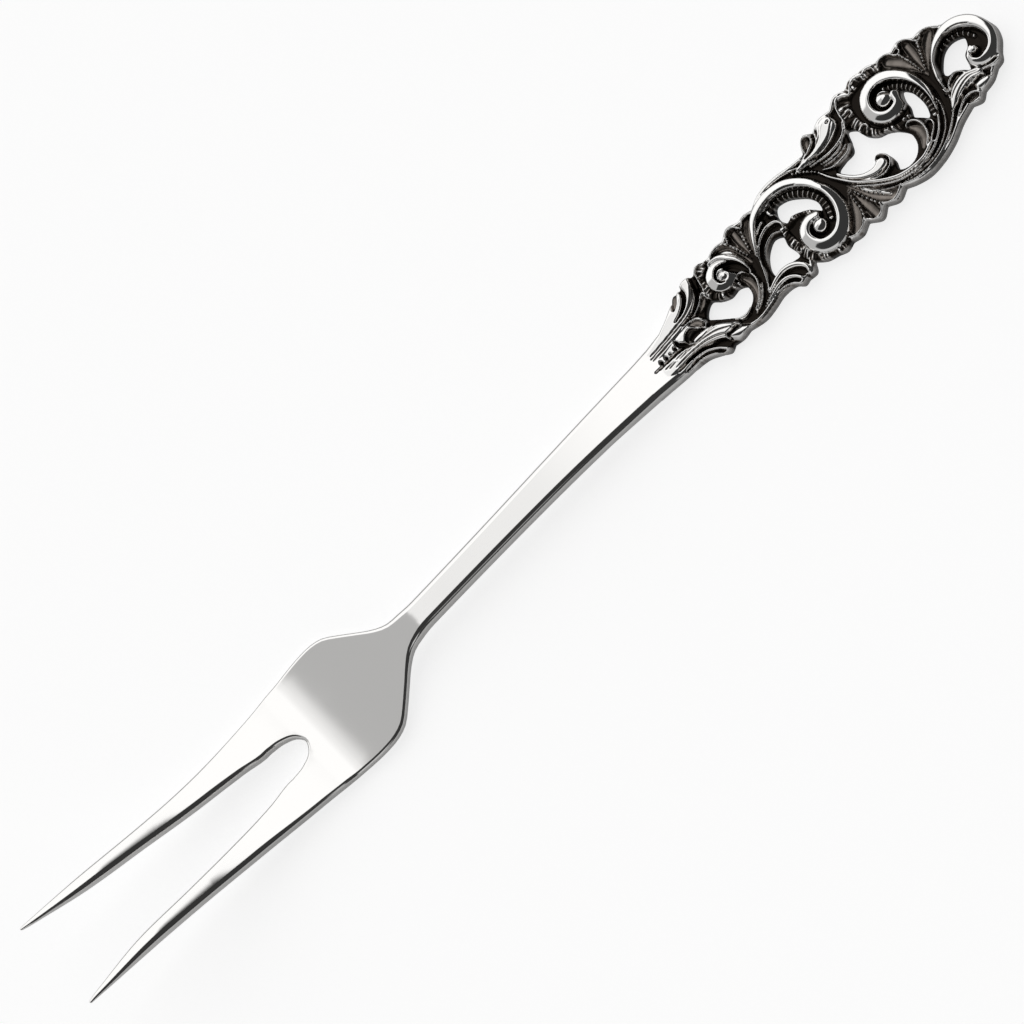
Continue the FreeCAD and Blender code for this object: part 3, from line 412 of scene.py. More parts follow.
MIDDLE_LEAVES = [
    ("band", [(58.6, 3.6), (59.4, 1.6), (60, -0.2), (60.6, -1.6)], (0.3, 0.6, 0.2), 1.3),
    ("swell", [(57.2, 5.3), (59.5, 5.4), (61.6, 5.75), (63.3, 6.3), (64.2, 6.75)], (0.3, 1.1, 1.5), MID),
    ("tube", [(58.6, 4.5), (61.2, 3.95), (63.4, 3.9), (65.2, 4.5), (66.1, 5.6)], (0.1, 0.24, 0.16), LOW),
    ("band", [(59, 5.7), (60.6, 5.9), (61.6, 6.5), (62, 7.5)], (0.06, 0.22, 0.2), 1.7),
    ("hollow", [(60.2, 6.8), (60.6, 7.4)], (0.35, 0.45, 0.45), 1.6),
    ("tube", [(58.4, 6.05), (59.5, 6.45), (59.9, 7.4), (60.6, 8), (61.3, 7.8), (61.5, 7.2), (61, 6.6),
     (60.1, 6.25)], (0.12, 0.2, 0.12), MID),
    ("band", [(59.2, 5.05), (61, 4.5), (63, 4.45), (65, 5), (65.9, 5.9), (66, 7.2)], (0.06, 0.18, 0.26),
     1.4),
    ("band", [(62.15, 6.6), (62.5, 7), (62.7, 7.5)], (0.04, 0.15, 0.1), 1.7),
    ("line", [(57.5, 5.6), (60.3, 5.6), (62.2, 6.2), (63.5, 7.5)], (0.04, 0.08, 0.05), 0.22),
    ("line", [(58, 5.1), (60.8, 4.9), (63.2, 5.3), (65.1, 6.6)], (0.04, 0.09, 0.05), 0.25),
    ("hollow", [(64.6, 6.95), (64.8, 7.05)], (0.12, 0.14, 0.12), 2.1),
    ("tube", [(59.9, 3.6), (61.8, 3.2), (63.6, 3.4), (64.8, 4.2)], (0.08, 0.15, 0.1), LOW),
    ("tube", [(60.1, 3.15), (62, 2.75), (63.6, 2.85), (64.4, 3.1)], (0.08, 0.13, 0.1), 1.95),
    ("hollow", [(60.5, 2.5), (62.2, 2.3), (63.8, 2.5)], (0.1, 0.3, 0.3), 1.45),
    ("tube", [(59.6, 2.9), (60.8, 2.15), (62.6, 1.95), (64, 2.15), (64.7, 2.8)], (0.1, 0.2, 0.14), LOW),
    ("beads", [(56.3, 5.55), (57.6, 4.6), (58.5, 3.7), (59.1, 2.9)], (0.2, 0.24, 0.16), 2.3, 8),
    ("swell", [(60.7, 0.8), (61.7, -0.8), (63.3, -2.2), (65, -2.75), (66.1, -2.55)], (0.3, 0.7, 0.95), 2.2),
    ("line", [(61.3, -0.9), (62.6, -2.2), (64.2, -3.1), (65.8, -3.4)], (0.05, 0.09, 0.05), 0.3),
    ("band", [(66, -1.75), (66.7, -2.1), (66.95, -2.9), (66.5, -3.5), (65.4, -3.7)], (0.06, 0.14, 0.06),
     1.7),
    ("tube", [(65.6, -1.7), (66.3, -1.35), (67.1, -1.9), (67.4, -2.9), (67, -3.6), (66.1, -4), (64.8, -3.9),
     (63.3, -3.2)], (0.12, 0.2, 0.12), MID),
    ("band", [(64, -3.9), (65.6, -4.6), (66.8, -5.2)], (0.1, 0.35, 0.4), 1.3),
    ("tube", [(59, 2.9), (59.7, 1.3), (60.5, -0.1), (61.5, -1.6), (62.9, -3), (64.6, -4.5), (66.6, -5.75),
     (68.8, -6.35), (71, -6.4), (72.8, -5.8)], (0.14, 0.36, 0.3), MID),
    ("line", [(60, 1.3), (60.9, -0.3), (62.1, -1.9), (63.6, -3.4), (65.4, -4.8)], (0.05, 0.1, 0.05), 0.4),
    ("tube", [(61.4, -2.3), (62.7, -3.6), (64.4, -5.1), (66.4, -6.3), (68.8, -6.95), (71.3, -6.9),
     (73.3, -6.3), (75.2, -5), (76.4, -3.3), (77, -1.5)], (0.1, 0.2, 0.16), MID),
    ("tube", [(62.6, -4.4), (64.4, -5.9), (66.6, -6.9), (69.2, -7.35), (71.8, -7.4), (74.2, -6.6),
     (76.1, -5.2), (77.2, -3.3), (77.7, -1.2)], (0.06, 0.1, 0.08), LOW),
    ("tube", [(65.9, -6.9), (67.8, -7.7), (70, -8.1), (72.5, -7.9), (75, -7.05), (77, -5.8), (78.6, -4.5),
     (80, -3.4)], (0.1, 0.18, 0.12), MID),
    ("tube", [(66.4, -7.4), (68.2, -8.3), (70.3, -8.6), (72.8, -8.35), (75.2, -7.5), (77.4, -6.3),
     (79, -5.2), (80.6, -4.2)], (0.08, 0.17, 0.12), LOW),
]

THIRD_SCROLL = [
    ("ruffle", [(73, -0.75), (71.2, -0.6), (69.2, 0.3), (67.9, 1.5), (67.3, 3.2), (67.2, 5), (67.5, 6.6),
     (68.6, 7.8), (70.6, 8.2), (72.8, 8), (74.6, 7.4)], (0.4, 0.95, 0.6), 2.1, 30),
    ("tube", [(65.5, 4.3), (66.2, 5.2), (66.5, 6.5), (66.9, 7.7), (67.6, 8.4), (68.4, 8.3), (69, 7.9),
     (69.4, 7.6), (69.9, 8), (70.4, 8.5), (71.4, 8.7), (72.2, 8.4), (72.6, 8.3), (73.2, 8.4), (74.3, 8)],
     (0.16, 0.24, 0.14), LOW),
    ("tube", [(67.2, 5.4), (67.8, 5.35), (68.05, 5.8), (67.9, 6.2)], (0.1, 0.15, 0.1), LOW),
    ("tube", [(67.6, 3.1), (68.1, 3.1), (68.25, 2.6), (67.8, 2.25)], (0.1, 0.15, 0.1), LOW),
    ("tube", [(69, 0.1), (69.5, 0.25), (69.8, -0.1), (69.6, -0.5)], (0.1, 0.15, 0.1), LOW),
    ("hollow", [(79, 1.4), (78.5, 3.6), (77.4, 5.6), (76.2, 6.9)], (0.1, 0.95, 0.9), 1.3),
    ("hollow", [(79.4, 1.9), (80.6, 3.4), (81.9, 4.7), (83, 5.5)], (0.1, 0.85, 0.7), 1.3),
    ("hollow", [(79.1, 2.2), (79.3, 4), (79.5, 5.6), (79.55, 6.6)], (0.1, 0.75, 0.75), 1.25),
    ("beads", [(78.75, 2.4), (78.6, 3.6), (78.4, 4.8), (78.05, 6.1)], (0.12, 0.2, 0.24), MID, 9),
    ("beads", [(79.3, 2.2), (79.9, 3.4), (80.4, 4.4), (80.9, 5.5)], (0.12, 0.2, 0.24), MID, 8),
    ("tube", [(74.6, 7.2), (75.3, 7.7), (76.2, 7.85), (77.1, 7.5), (77.5, 6.8), (78, 6.45), (78.5, 6.75),
     (78.4, 7.2)], (0.14, 0.2, 0.12), 2.4),
    ("tube", [(78.4, 7.1), (79, 7.5), (79.8, 7.4), (80.5, 6.8), (80.95, 6), (81.4, 5.75), (81.8, 6),
     (81.7, 6.35)], (0.14, 0.2, 0.12), 2.4),
    ("tube", [(81.8, 6.2), (82.8, 6.3), (83.8, 5.8), (84.7, 5)], (0.12, 0.15, 0.12), 2.4),
    ("hollow", [(72.2, -1.9), (72.8, -3), (72.6, -4.3), (71.6, -5.4)], (0.3, 0.7, 0.3), 1.6),
    ("tube", [(71.9, -1.55), (72.6, -1.35), (73.3, -1.8), (73.75, -2.8), (73.7, -3.8), (73.2, -4.8),
     (72.2, -5.7)], (0.14, 0.24, 0.2), MID),
    ("band", [(74, -1.6), (74.5, -3), (74.3, -4.4), (73.8, -5.4)], (0.2, 0.4, 0.3), 1.4),
    ("tube", [(74.2, -3.05), (74.8, -3.2), (75, -3.9), (74.5, -4.6), (73.6, -5.2), (73.1, -5.7),
     (73.4, -6.05), (74.3, -5.8), (75.5, -4.9)], (0.1, 0.16, 0.1), MID),
    ("band", [(78.6, 1.6), (78.6, -0.6), (78.2, -2.8), (77.2, -4.8), (75.6, -6.2)], (0.25, 0.42, 0.2), 1.3),
    ("scroll", [(76.6, -3), (77.3, -1), (77.4, 1), (76.9, 3), (75.6, 4.85), (73.8, 5.9), (72, 6),
     (70.55, 5.3), (69.8, 3.95), (69.95, 2.4), (71, 1.3), (72.4, 1.05), (73.6, 1.5), (73.9, 2.6)],
     (0.3, 1.05, 0.85), HIGH, 0.65),
    ("band", [(76.1, -3.4), (76.5, -1.4), (76.4, 0.6), (75.7, 2.5), (74.5, 3.9), (73.3, 4.6)],
     (0.3, 0.7, 0.5), 1.3),
    ("band", [(74.6, 4.3), (73.5, 4.95), (72.3, 5.1), (71.2, 4.6), (70.75, 3.7), (70.9, 2.8), (71.6, 2.2),
     (72.3, 2.1)], (0.35, 0.25, 0.08), 1.3),
    ("ladder", [(75.9, -3.2), (76.35, -1.4), (76.3, 0.6), (75.7, 2.4), (74.5, 3.8), (73.3, 4.5)],
     (0.4, 0.55, 0.4), 2.05, 14),
    ("dome", [(72.25, 3.4), (72.4, 3.45)], (1.15, 1.2, 1.15), 2.9, 0.45),
    ("line", [(72.2, 4.3), (72.9, 3.9), (73.4, 3.3)], (0.05, 0.12, 0.06), 0.5),
    ("line", [(77.4, -3.2), (77.95, -1), (77.95, 1.4), (77.2, 3.9), (75.6, 5.9)], (0.05, 0.1, 0.05), 0.4),
]

FOURTH_SCROLL = [
    ("hollow", [(78.9, -2.4), (80.6, -2.3), (81.7, -2)], (0.3, 0.5, 0.4), 1.9),
    ("swell", [(78.4, -4.6), (80.2, -3.4), (82.2, -3.1), (84, -3.7)], (0.4, 1.05, 0.9), MID),
    ("dome", [(83, -5.1), (84.4, -5.3)], (1.1, 1.2, 0.9), 2.3, 1.1),
    ("line", [(77.9, -4.9), (79.4, -3.5), (81, -2.9), (82.6, -2.8), (84.2, -3.5)], (0.04, 0.08, 0.05),
     0.22),
    ("line", [(78.2, -5.2), (79.8, -4), (81.4, -3.4), (83, -3.3), (84.3, -3.9)], (0.04, 0.08, 0.05), 0.22),
    ("line", [(78.5, -5.5), (80, -4.5), (81.6, -3.9), (83, -3.8), (84, -4.2)], (0.04, 0.1, 0.05), 0.3),
    ("band", [(78.9, -5.4), (80.2, -4.8), (81.4, -4.8)], (0.06, 0.18, 0.1), 1.5),
    ("hollow", [(80.4, -5.7), (81.6, -5.75)], (0.2, 0.35, 0.3), 1.4),
    ("tube", [(78.3, -5.85), (79.8, -5.15), (81.2, -4.95), (82.1, -5.4), (82.4, -6), (81.9, -6.4)],
     (0.12, 0.2, 0.14), MID),
    ("beads", [(79, -2.9), (78.5, -3.8), (77.8, -4.7)], (0.14, 0.14, 0.12), 1.9, 8),
    ("tube", [(79, -1.6), (79.1, -2.3), (79.5, -2.5), (80.1, -1.8), (81, -1.4), (82, -1.35), (82.6, -1.9),
     (82.9, -2.7)], (0.1, 0.16, 0.1), MID),
    ("scroll", [(79.3, -2), (79.7, 0), (80.9, 1.9), (82.7, 3.35), (84.7, 3.9), (86.8, 3.45), (88.55, 2.1),
     (89.35, 0.1), (89.2, -1.5), (88.2, -2.7), (86.8, -3.15), (85.4, -2.85), (84.6, -2.1), (84.75, -1.1),
     (85.6, -0.6)], (0.2, 1.2, 0.5), HIGH, 0.65),
    ("line", [(79.7, -0.6), (81.2, 1.7), (83.2, 3.2), (85, 3.5), (86.6, 3), (87.8, 2)], (0.05, 0.09, 0.05),
     0.3),
    ("band", [(80.1, -0.4), (81.3, 1.8), (83.2, 2.75), (85.1, 2.7), (86.6, 1.8), (87.2, 0.4), (87.1, -0.9),
     (86.6, -1.7)], (0.2, 0.6, 0.3), 1.3),
    ("band", [(87, -1.1), (86.8, -1.9), (86.2, -2.35), (85.5, -2.2), (85.25, -1.6), (85.5, -1.2)],
     (0.3, 0.2, 0.06), 1.3),
    ("ladder", [(82.6, 2.6), (84.6, 2.8), (86.3, 2), (87.1, 0.6)], (0.2, 0.4, 0.3), 1.8, 7),
    ("dome", [(85.75, -1), (85.9, -1.05)], (0.6, 0.62, 0.6), 2.85, 0.3),
    ("line", [(85.6, -1.6), (86.1, -1.5), (86.3, -1)], (0.05, 0.1, 0.05), 0.4),
    ("tube", [(84.3, -3.5), (85.3, -4), (86.4, -4.45), (87.5, -4.45), (88.3, -3.9)], (0.08, 0.25, 0.2),
     MID),
]

CARVING = (BASE_LEAVES + FIRST_SCROLL + COMMA_LEAVES + SECOND_SCROLL + MIDDLE_LEAVES + THIRD_SCROLL
           + FOURTH_SCROLL)


def hermite(u, step, start, start_slope, end, end_slope):
    """Value at share u of a step between two places, from the values and slopes at both."""
    return ((2 * u ** 3 - 3 * u ** 2 + 1) * start + (u ** 3 - 2 * u ** 2 + u) * step * start_slope
            + (3 * u ** 2 - 2 * u ** 3) * end + (u ** 3 - u ** 2) * step * end_slope)


def slope_at(stations, i):
    """Slope of the smooth curve at one station, level where the values turn or stay."""
    here = stations[i]
    before = stations[max(i - 1, 0)]
    after = stations[min(i + 1, len(stations) - 1)]
    if (here[1] - before[1]) * (after[1] - here[1]) <= 0:
        return 0.0
    return (after[1] - before[1]) / (after[0] - before[0])


def along(stations, x):
    """Value at x on a smooth curve through (place, value) stations, level beyond its ends."""
    if x <= stations[0][0]:
        return stations[0][1]
    for i, ((x0, v0), (x1, v1)) in enumerate(zip(stations, stations[1:])):
        if x <= x1:
            step = x1 - x0
            return hermite((x - x0) / step, step, v0, slope_at(stations, i), v1, slope_at(stations, i + 1))
    return stations[-1][1]


def arc_rise(radius, run):
    """Rise of an arc over a run that starts level."""
    return radius - math.sqrt(radius ** 2 - run ** 2)


def underside(x):
    """Height of the underside: straight tines, an upward bend, a dished plate and an arched stem."""
    if x > STEM_END_X:
        return 0.0
    away = abs(x - LOW_X)
    if x < LOW_X:
        bend_run = TINE_BEND * math.sin(TINE_ANGLE)
        if away < bend_run:
            return arc_rise(TINE_BEND, away)
        return arc_rise(TINE_BEND, bend_run) + (away - bend_run) * math.tan(TINE_ANGLE)
    if x < ARC_END_X:
        return arc_rise(PLATE_BEND, away)
    arc_run = ARC_END_X - LOW_X
    slope = arc_run / math.sqrt(PLATE_BEND ** 2 - arc_run ** 2)
    crest = arc_rise(PLATE_BEND, arc_run) + slope * NECK_BLEND
    if x < CREST_X:
        return crest - slope * NECK_BLEND * ((CREST_X - x) / (CREST_X - ARC_END_X)) ** 2
    return crest * (1 - ((x - CREST_X) / (STEM_END_X - CREST_X)) ** FALL_POWER)


def outer_half(x):
    """Half width over the outside of tines, plate, neck and stem."""
    stations = [(TIP_X, TINE_TIP_HALF)]
    for start, length, small, large, shares in (
            (TIP_X, TINE_LENGTH, TINE_HALF, PLATE_HALF, TINE_FLARE),
            (ROOT_X, PLATE_LENGTH, TINE_HALF, PLATE_HALF, PLATE_FLARE),
            (NECK_X, -SHOULDER_RUN, NECK_HALF, PLATE_HALF, SHOULDER),
            (NECK_X, STEM_LENGTH, NECK_HALF, STEM_HALF, STEM_FLARE)):
        stations += [(start + run * length, small + (large - small) * share) for run, share in shares]
    return along(stations, x)


def tine_stations(tip, middle, shares=TINE_FULL):
    """Stations along a tine for a measure that is small at its blunt tip and full along its middle."""
    return [(TIP_X, tip * TIP_BLUNT), (TIP_X + TIP_RUN * TINE_LENGTH, tip)] + [
        (TIP_X + share * TINE_LENGTH, middle) for share in shares]


def tine_width(x):
    """Width of one tine, which tapers to a blunt point."""
    taper = [(TIP_X + run * TINE_LENGTH, TINE_WIDTH * share) for run, share in TINE_TAPER]
    return along(tine_stations(TIP_WIDTH, TINE_WIDTH, ()) + taper
                 + [(SLOT_X, outer_half(SLOT_X) - SLOT_HALF)], x)


def thickness(x):
    """Thickness of the metal."""
    return along(tine_stations(TIP_THICK, TINE_THICK) + [
        (ROOT_X, (TINE_THICK + PLATE_THICK) / 2),
        (LOW_X, PLATE_THICK),
        (SHOULDER_X, PLATE_THICK),
        (CREST_X, STEM_THICK),
        (NECK_X + STEM_LENGTH / 2, STEM_THICK),
        (HANDLE_X, STEM_END_THICK),
    ], x)


def edge_round(x):
    """Radius on the long edges."""
    return along(tine_stations(TIP_ROUND, TINE_ROUND) + [
        (SLOT_X, PLATE_ROUND),
        (SHOULDER_X, PLATE_ROUND),
        (CREST_X, STEM_ROUND),
        (STEM_ROUND_END_X, STEM_ROUND),
        (STEM_END_X, CARVED_ROUND),
    ], x)


def smooth_line(points, spacing=0.1, closed=False):
    """Points close together on a smooth curve through the given ones."""
    p = np.array(points, float)
    if closed:
        p = np.vstack([p[-2:], p, p[:3]])
    if len(p) == 2:
        p = np.vstack([p[0], p.mean(0), p[1]])
    t = np.concatenate([[0], np.cumsum(np.linalg.norm(np.diff(p, axis=0), axis=1))])
    slopes = np.gradient(p, t, axis=0)
    first, last = (2, len(p) - 3) if closed else (0, len(p) - 1)
    count = max(3, round((t[last] - t[first]) / spacing))
    at = np.linspace(t[first], t[last], count + 1)
    i = np.clip(np.searchsorted(t, at, side="right") - 1, 0, len(p) - 2)
    step = (t[i + 1] - t[i])[:, None]
    u = ((at - t[i]) / (t[i + 1] - t[i]))[:, None]
    line = hermite(u, step, p[i], slopes[i], p[i + 1], slopes[i + 1])
    return line[:-1] if closed else line


def ramp(low, high, value):
    """Smooth step from 0 at low to 1 at high."""
    t = np.clip((value - low) / (high - low), 0, 1)
    return t * t * (3 - 2 * t)


def swelled(half, share):
    """Half width at a share of the length, from those at the start, at the widest and at the end."""
    first, widest, end = half
    return first + (end - first) * share + (widest - (first + end) / 2) * np.sin(np.pi * share)


xs = np.arange(CARVED_X, node_high.x / MM + GRID_PAST_END, GRID)
ys = np.arange(*GRID_Y, GRID)
X, Y = np.meshgrid(xs, ys, indexing="ij")
height = np.full(X.shape, WEB)
black = np.ones(X.shape)


def window_between(low, high):
    """The part of the grid between two corners."""
    return (slice(*np.searchsorted(xs, (low[0], high[0]))), slice(*np.searchsorted(ys, (low[1], high[1]))))


class Stroke:
    """How the grid points near a stroke lie to it: share along it, side of it, and how far out, where 1 is
    its edge."""

    def __init__(self, points, half):
        self.line = smooth_line(points)
        reach = max(half) * 1.3 + 2 * GRID
        self.window = window_between(self.line.min(0) - reach, self.line.max(0) + reach)
        x = X[self.window]
        y = Y[self.window]
        best = np.full(x.shape, FAR)
        nearest = np.zeros(x.shape, int)
        for n, (cx, cy) in enumerate(self.line):
            gap = (x - cx) ** 2 + (y - cy) ** 2
            closer = gap < best
            best[closer] = gap[closer]
            nearest[closer] = n
        heading = np.gradient(self.line, axis=0)
        heading /= np.linalg.norm(heading, axis=1)[:, None]
        dx = x - self.line[nearest, 0]
        dy = y - self.line[nearest, 1]
        hx = heading[nearest, 0]
        hy = heading[nearest, 1]
        forward = dx * hx + dy * hy
        self.side = dy * hx - dx * hy
        last = len(self.line) - 1
        before = np.where(nearest == 0, np.maximum(-forward, 0), 0)
        beyond = np.where(nearest == last, np.maximum(forward, 0), before)
        length = np.linalg.norm(np.diff(self.line, axis=0), axis=1).sum()
        self.share = np.clip(nearest / last + forward / length, 0, 1)
        self.half = swelled(half, self.share)
        self.out = np.hypot(self.side, beyond) / self.half

    def lay(self, inside, new_height, new_black):
        """Replaces height and black by the new values, as far as inside goes from 0 to 1."""
        height[self.window] += (new_height - height[self.window]) * inside
        black[self.window] += (new_black - black[self.window]) * inside

    def build_up(self, crest, section):
        """Raises the grid to a ridge of that section, where that is higher than what is there."""
        power, flat, clean = section
        new = FOOT + (crest - FOOT) * np.clip(1 - self.out ** flat, 0, 1) ** power
        inside = ((new > height[self.window]) & (self.out < 1)).astype(float)
        self.lay(inside, new, ramp(clean, 1.0, self.out))


def tube(points, half, crest):
    """A round ridge."""
    Stroke(points, half).build_up(crest, TUBE)


def swell(points, half, crest):
    """A broad ridge with a flat top."""
    Stroke(points, half).build_up(crest, SWELL)


def scroll(points, half, crest, drop, ridge=0.3, bevel_from=0.6, bevel=0.3):
    """A rolled ribbon whose back falls away from the eye of the scroll, with a bevel on the inner side."""
    stroke = Stroke(points, half)
    steps = np.diff(stroke.line, axis=0)
    turn = np.sum(steps[:-1, 0] * steps[1:, 1] - steps[:-1, 1] * steps[1:, 0])
    inward = stroke.side / stroke.half * np.sign(turn)
    tilt = (drop * np.clip((ridge - inward) / (1 + ridge), 0, 1.2) ** 1.3
            + bevel * np.clip((inward - bevel_from) / (1 - bevel_from), 0, 1))
    stroke.build_up(crest - tilt, SCROLL)


def dome(points, half, crest, drop):
    """A shallow dome round a point, laid over what is there."""
    stroke = Stroke(points, half)
    new = crest - drop * np.minimum(stroke.out, 1) ** 2
    stroke.lay(ramp(1.0, 0.94, stroke.out), new, ramp(0.9, 1.0, stroke.out))


def hollow(points, half, floor):
    """A scooped lobe: its floor rises to its edges, where it is bright, with a painted sheen along its
    middle.
    """
    stroke = Stroke(points, half)
    new = floor + (RIM - floor) * np.minimum(stroke.out, 1) ** 3
    # Painted sheen: the blackening is lighter along the lobe's middle than near its edges, over the patina
    # in the lobe.
    tone = 0.6 + 0.5 * np.minimum(stroke.out, 0.8) ** 2
    stroke.lay(ramp(1.0, 0.9, stroke.out), new, tone * (1 - 0.9 * ramp(0.8, 1.0, stroke.out)))


def band(points, half, floor, rise=0.25):
    """A blackened groove with steep walls, whose floor rises a little to them."""
    stroke = Stroke(points, half)
    new = floor + rise * np.minimum(stroke.out, 1) ** 2
    inside = ramp(1.0, 0.8, stroke.out) * (height[stroke.window] > new)
    stroke.lay(inside, new, 1.0)


def line(points, half, depth):
    """An engraved line."""
    stroke = Stroke(points, half)
    profile = np.clip(1 - stroke.out ** 2, 0, 1)
    height[stroke.window] -= depth * profile
    black[stroke.window] = np.maximum(black[stroke.window], 0.8 * ramp(0.0, 0.7, profile))


def beads(points, half, crest, count):
    """A row of drops, each a very short stroke."""
    path = smooth_line(points)
    for n in range(count):
        share = n / (count - 1)
        x, y = path[round(share * (len(path) - 1))]
        radius = swelled(half, share)
        Stroke([(x - 0.02, y), (x + 0.02, y)], (radius, radius, radius)).build_up(crest, BEAD)


def ladder(points, half, crest, count, depth=0.3):
    """Bright ribs across a black band."""
    stroke = Stroke(points, half)
    wave = np.cos(2 * np.pi * count * stroke.share)
    rib = ramp(0.6, 0.95, wave) * ramp(1.0, 0.9, stroke.out)
    stroke.lay(ramp(1.0, 0.85, stroke.out), crest - depth * (1 - rib), 1 - 0.95 * rib)


def ruffle(points, half, crest, count, depth=0.4):
    """A frilled strip, with shallow uneven flutes across it, dark between the flutes from painted shade and
    patina.
    """
    stroke = Stroke(points, half)
    phase = 2 * np.pi * count * stroke.share
    uneven = 1.3 * np.sin(phase * 0.37) + 0.8 * np.sin(phase * 1.31 + 1) + 2.4 * stroke.side
    fold = 0.65 + 0.35 * np.cos(phase * 0.23 + 1.5 * stroke.side)
    wave = (0.5 + 0.5 * np.cos(phase + uneven)) * fold
    # The dark between the flutes is painted shade that stands for deeper flutes, together with patina in
    # their grooves.
    stroke.lay(ramp(1.0, 0.7, stroke.out), crest - depth * (1 - wave), 1 - 0.95 * ramp(0.25, 0.6, wave))


KINDS = {kind.__name__: kind for kind in (
    swell, scroll, dome, tube, hollow, band, line, beads, ladder, ruffle)}


def distance_to(loops):
    """Distance of each grid point to the nearest loop, positive inside an odd number of them."""
    gap = np.full(X.shape, EDGE_REACH)
    inside = np.zeros(X.shape, bool)
    for loop in loops:
        for a, b in zip(loop, np.roll(loop, -1, axis=0)):
            run = b - a
            if run[1] != 0:
                inside ^= ((Y >= min(a[1], b[1])) & (Y < max(a[1], b[1]))
                           & (X < a[0] + (Y - a[1]) * run[0] / run[1]))
            part = window_between(np.minimum(a, b) - EDGE_REACH, np.maximum(a, b) + EDGE_REACH)
            x = X[part] - a[0]
            y = Y[part] - a[1]
            t = np.clip((x * run[0] + y * run[1]) / max(run @ run, 1e-12), 0, 1)
            gap[part] = np.minimum(gap[part], np.hypot(x - t * run[0], y - t * run[1]))
    return np.where(inside, gap, -gap)


def blur(field, radius):
    """Field smoothed by a bell curve of that radius, in millimetres."""
    reach = math.ceil(3 * radius / GRID)
    weights = np.exp(-0.5 * (np.arange(-reach, reach + 1) * GRID / radius) ** 2)
    weights /= weights.sum()
    for axis in (0, 1):
        padded = np.pad(field, [(reach, reach) if a == axis else (0, 0) for a in (0, 1)], mode="edge")
        field = sum(w * np.take(padded, np.arange(n, n + field.shape[axis]), axis=axis)
                    for n, w in enumerate(weights))
    return field


def handle_outline():
    """Edge of the handle and of the end of the stem that is carved with it, as points."""
    corner = (HANDLE_X, STEM_HALF)
    edge = []
    for run in OUTLINE:
        edge += list(smooth_line([corner] + run, OUTLINE_SPACING)[:-1])
        corner = run[-1]
    start = [(x, outer_half(x)) for x in np.arange(CARVED_X - 1, HANDLE_X, 1.0)]
    return np.vstack([start, edge, corner, [(x, -half) for x, half in reversed(start)]])


def relief():
    """Fills height and black with the whole carving, and returns the distance to the edges."""
    outline = handle_outline()
    holes = [smooth_line(points, HOLE_SPACING, closed=True) for points in PIERCINGS]
    edge = distance_to([outline] + holes)
    border = distance_to([outline])
    stem = np.array([underside(x) + thickness(x) for x in xs])[:, None]
    height[:] = WEB + (stem - WEB) * ramp(*PLAIN_STEM, X)
    black[:] = 1 - ramp(*BRIGHT_STEM, X)
    rim = ramp(*RIM_FADE, np.abs(border - RIM_AT)) * ramp(*RIM_STARTS, X)
    height[:] = np.maximum(height, WEB + RIM_RISE * rim)
    black[:] = black * (1 - 0.9 * rim)
    for kind, *row in CARVING:
        KINDS[kind](*row)
    near_stem = X < CARVED_X + JOINING_RUN
    height[near_stem] = np.broadcast_to(stem, X.shape)[near_stem]
    black[near_stem] = 0
    height[:] = blur(height, SOFTEN)
    hollowness = blur(height, HOLLOW_RADIUS) - height
    tarnish_and_painted_shading = np.maximum(blur(black, BLACK_SOFTEN), ramp(*HOLLOW_TARNISH, hollowness))
    black[:] = np.clip(tarnish_and_painted_shading, 0, 1)
    radius = np.array([edge_round(x) for x in xs])[:, None]
    inset = np.clip(1 - edge / radius, 0, 1)
    drop = np.minimum(radius, height - LEAST_EDGE)
    height[:] = height - drop * (1 - np.sqrt(np.maximum(1 - inset ** 2, 0)))
    # Darkens the metal along the handle's outer edge, from where the carving starts.
    at_edge = ramp(EDGE_DARKENING_RUN, 0.0, edge) * ramp(*EDGE_DARKENING_STARTS, X)
    black[:] = np.maximum(black, at_edge * EDGE_DARKENING)
    return edge


def handle_mesh():
    """The handle as one closed mesh: the carved top, upright edges and a flat back."""
    edge = relief()
    inside = edge > 0
    index = np.full(X.shape, -1)
    index[inside] = np.arange(inside.sum())
    vertices = [tuple(v) for v in np.column_stack([X[inside], Y[inside], height[inside]])]
    shade = list(black[inside])
    quads = [(slice(None, -1), slice(None, -1)), (slice(1, None), slice(None, -1)),
             (slice(1, None), slice(1, None)), (slice(None, -1), slice(1, None))]
    whole = np.all([inside[quad] for quad in quads], axis=0)
    some = np.any([inside[quad] for quad in quads], axis=0)
    faces = [tuple(f) for f in np.column_stack([index[quad][whole] for quad in quads]).tolist()]
    crossings = {}

    def crossing(a, b):
        """Vertex where the edge of the metal crosses between two grid points."""
        a, b = min(a, b), max(a, b)
        if (a, b) not in crossings:
            share = min(max(edge[a] / (edge[a] - edge[b]), 0.04), 0.96)
            crossings[a, b] = len(vertices)
            *place, tone = [field[a] * (1 - share) + field[b] * share for field in (X, Y, height, black)]
            vertices.append(tuple(place))
            shade.append(tone)
        return crossings[a, b]

    for i, j in zip(*np.nonzero(some & ~whole)):
        ring = [(i, j), (i + 1, j), (i + 1, j + 1), (i, j + 1)]
        signs = [bool(inside[c]) for c in ring]
        if signs in ([True, False, True, False], [False, True, False, True]):
            for n in range(4):
                if signs[n]:
                    faces.append((index[ring[n]], crossing(ring[n], ring[(n + 1) % 4]),
                                  crossing(ring[n], ring[n - 1])))
            continue
        loop = []
        for here, after in zip(ring, ring[1:] + ring[:1]):
            if inside[here]:
                loop.append(index[here])
            if inside[here] != inside[after]:
                loop.append(crossing(here, after))
        faces.append(tuple(loop))
    return close_down(vertices, faces, shade)


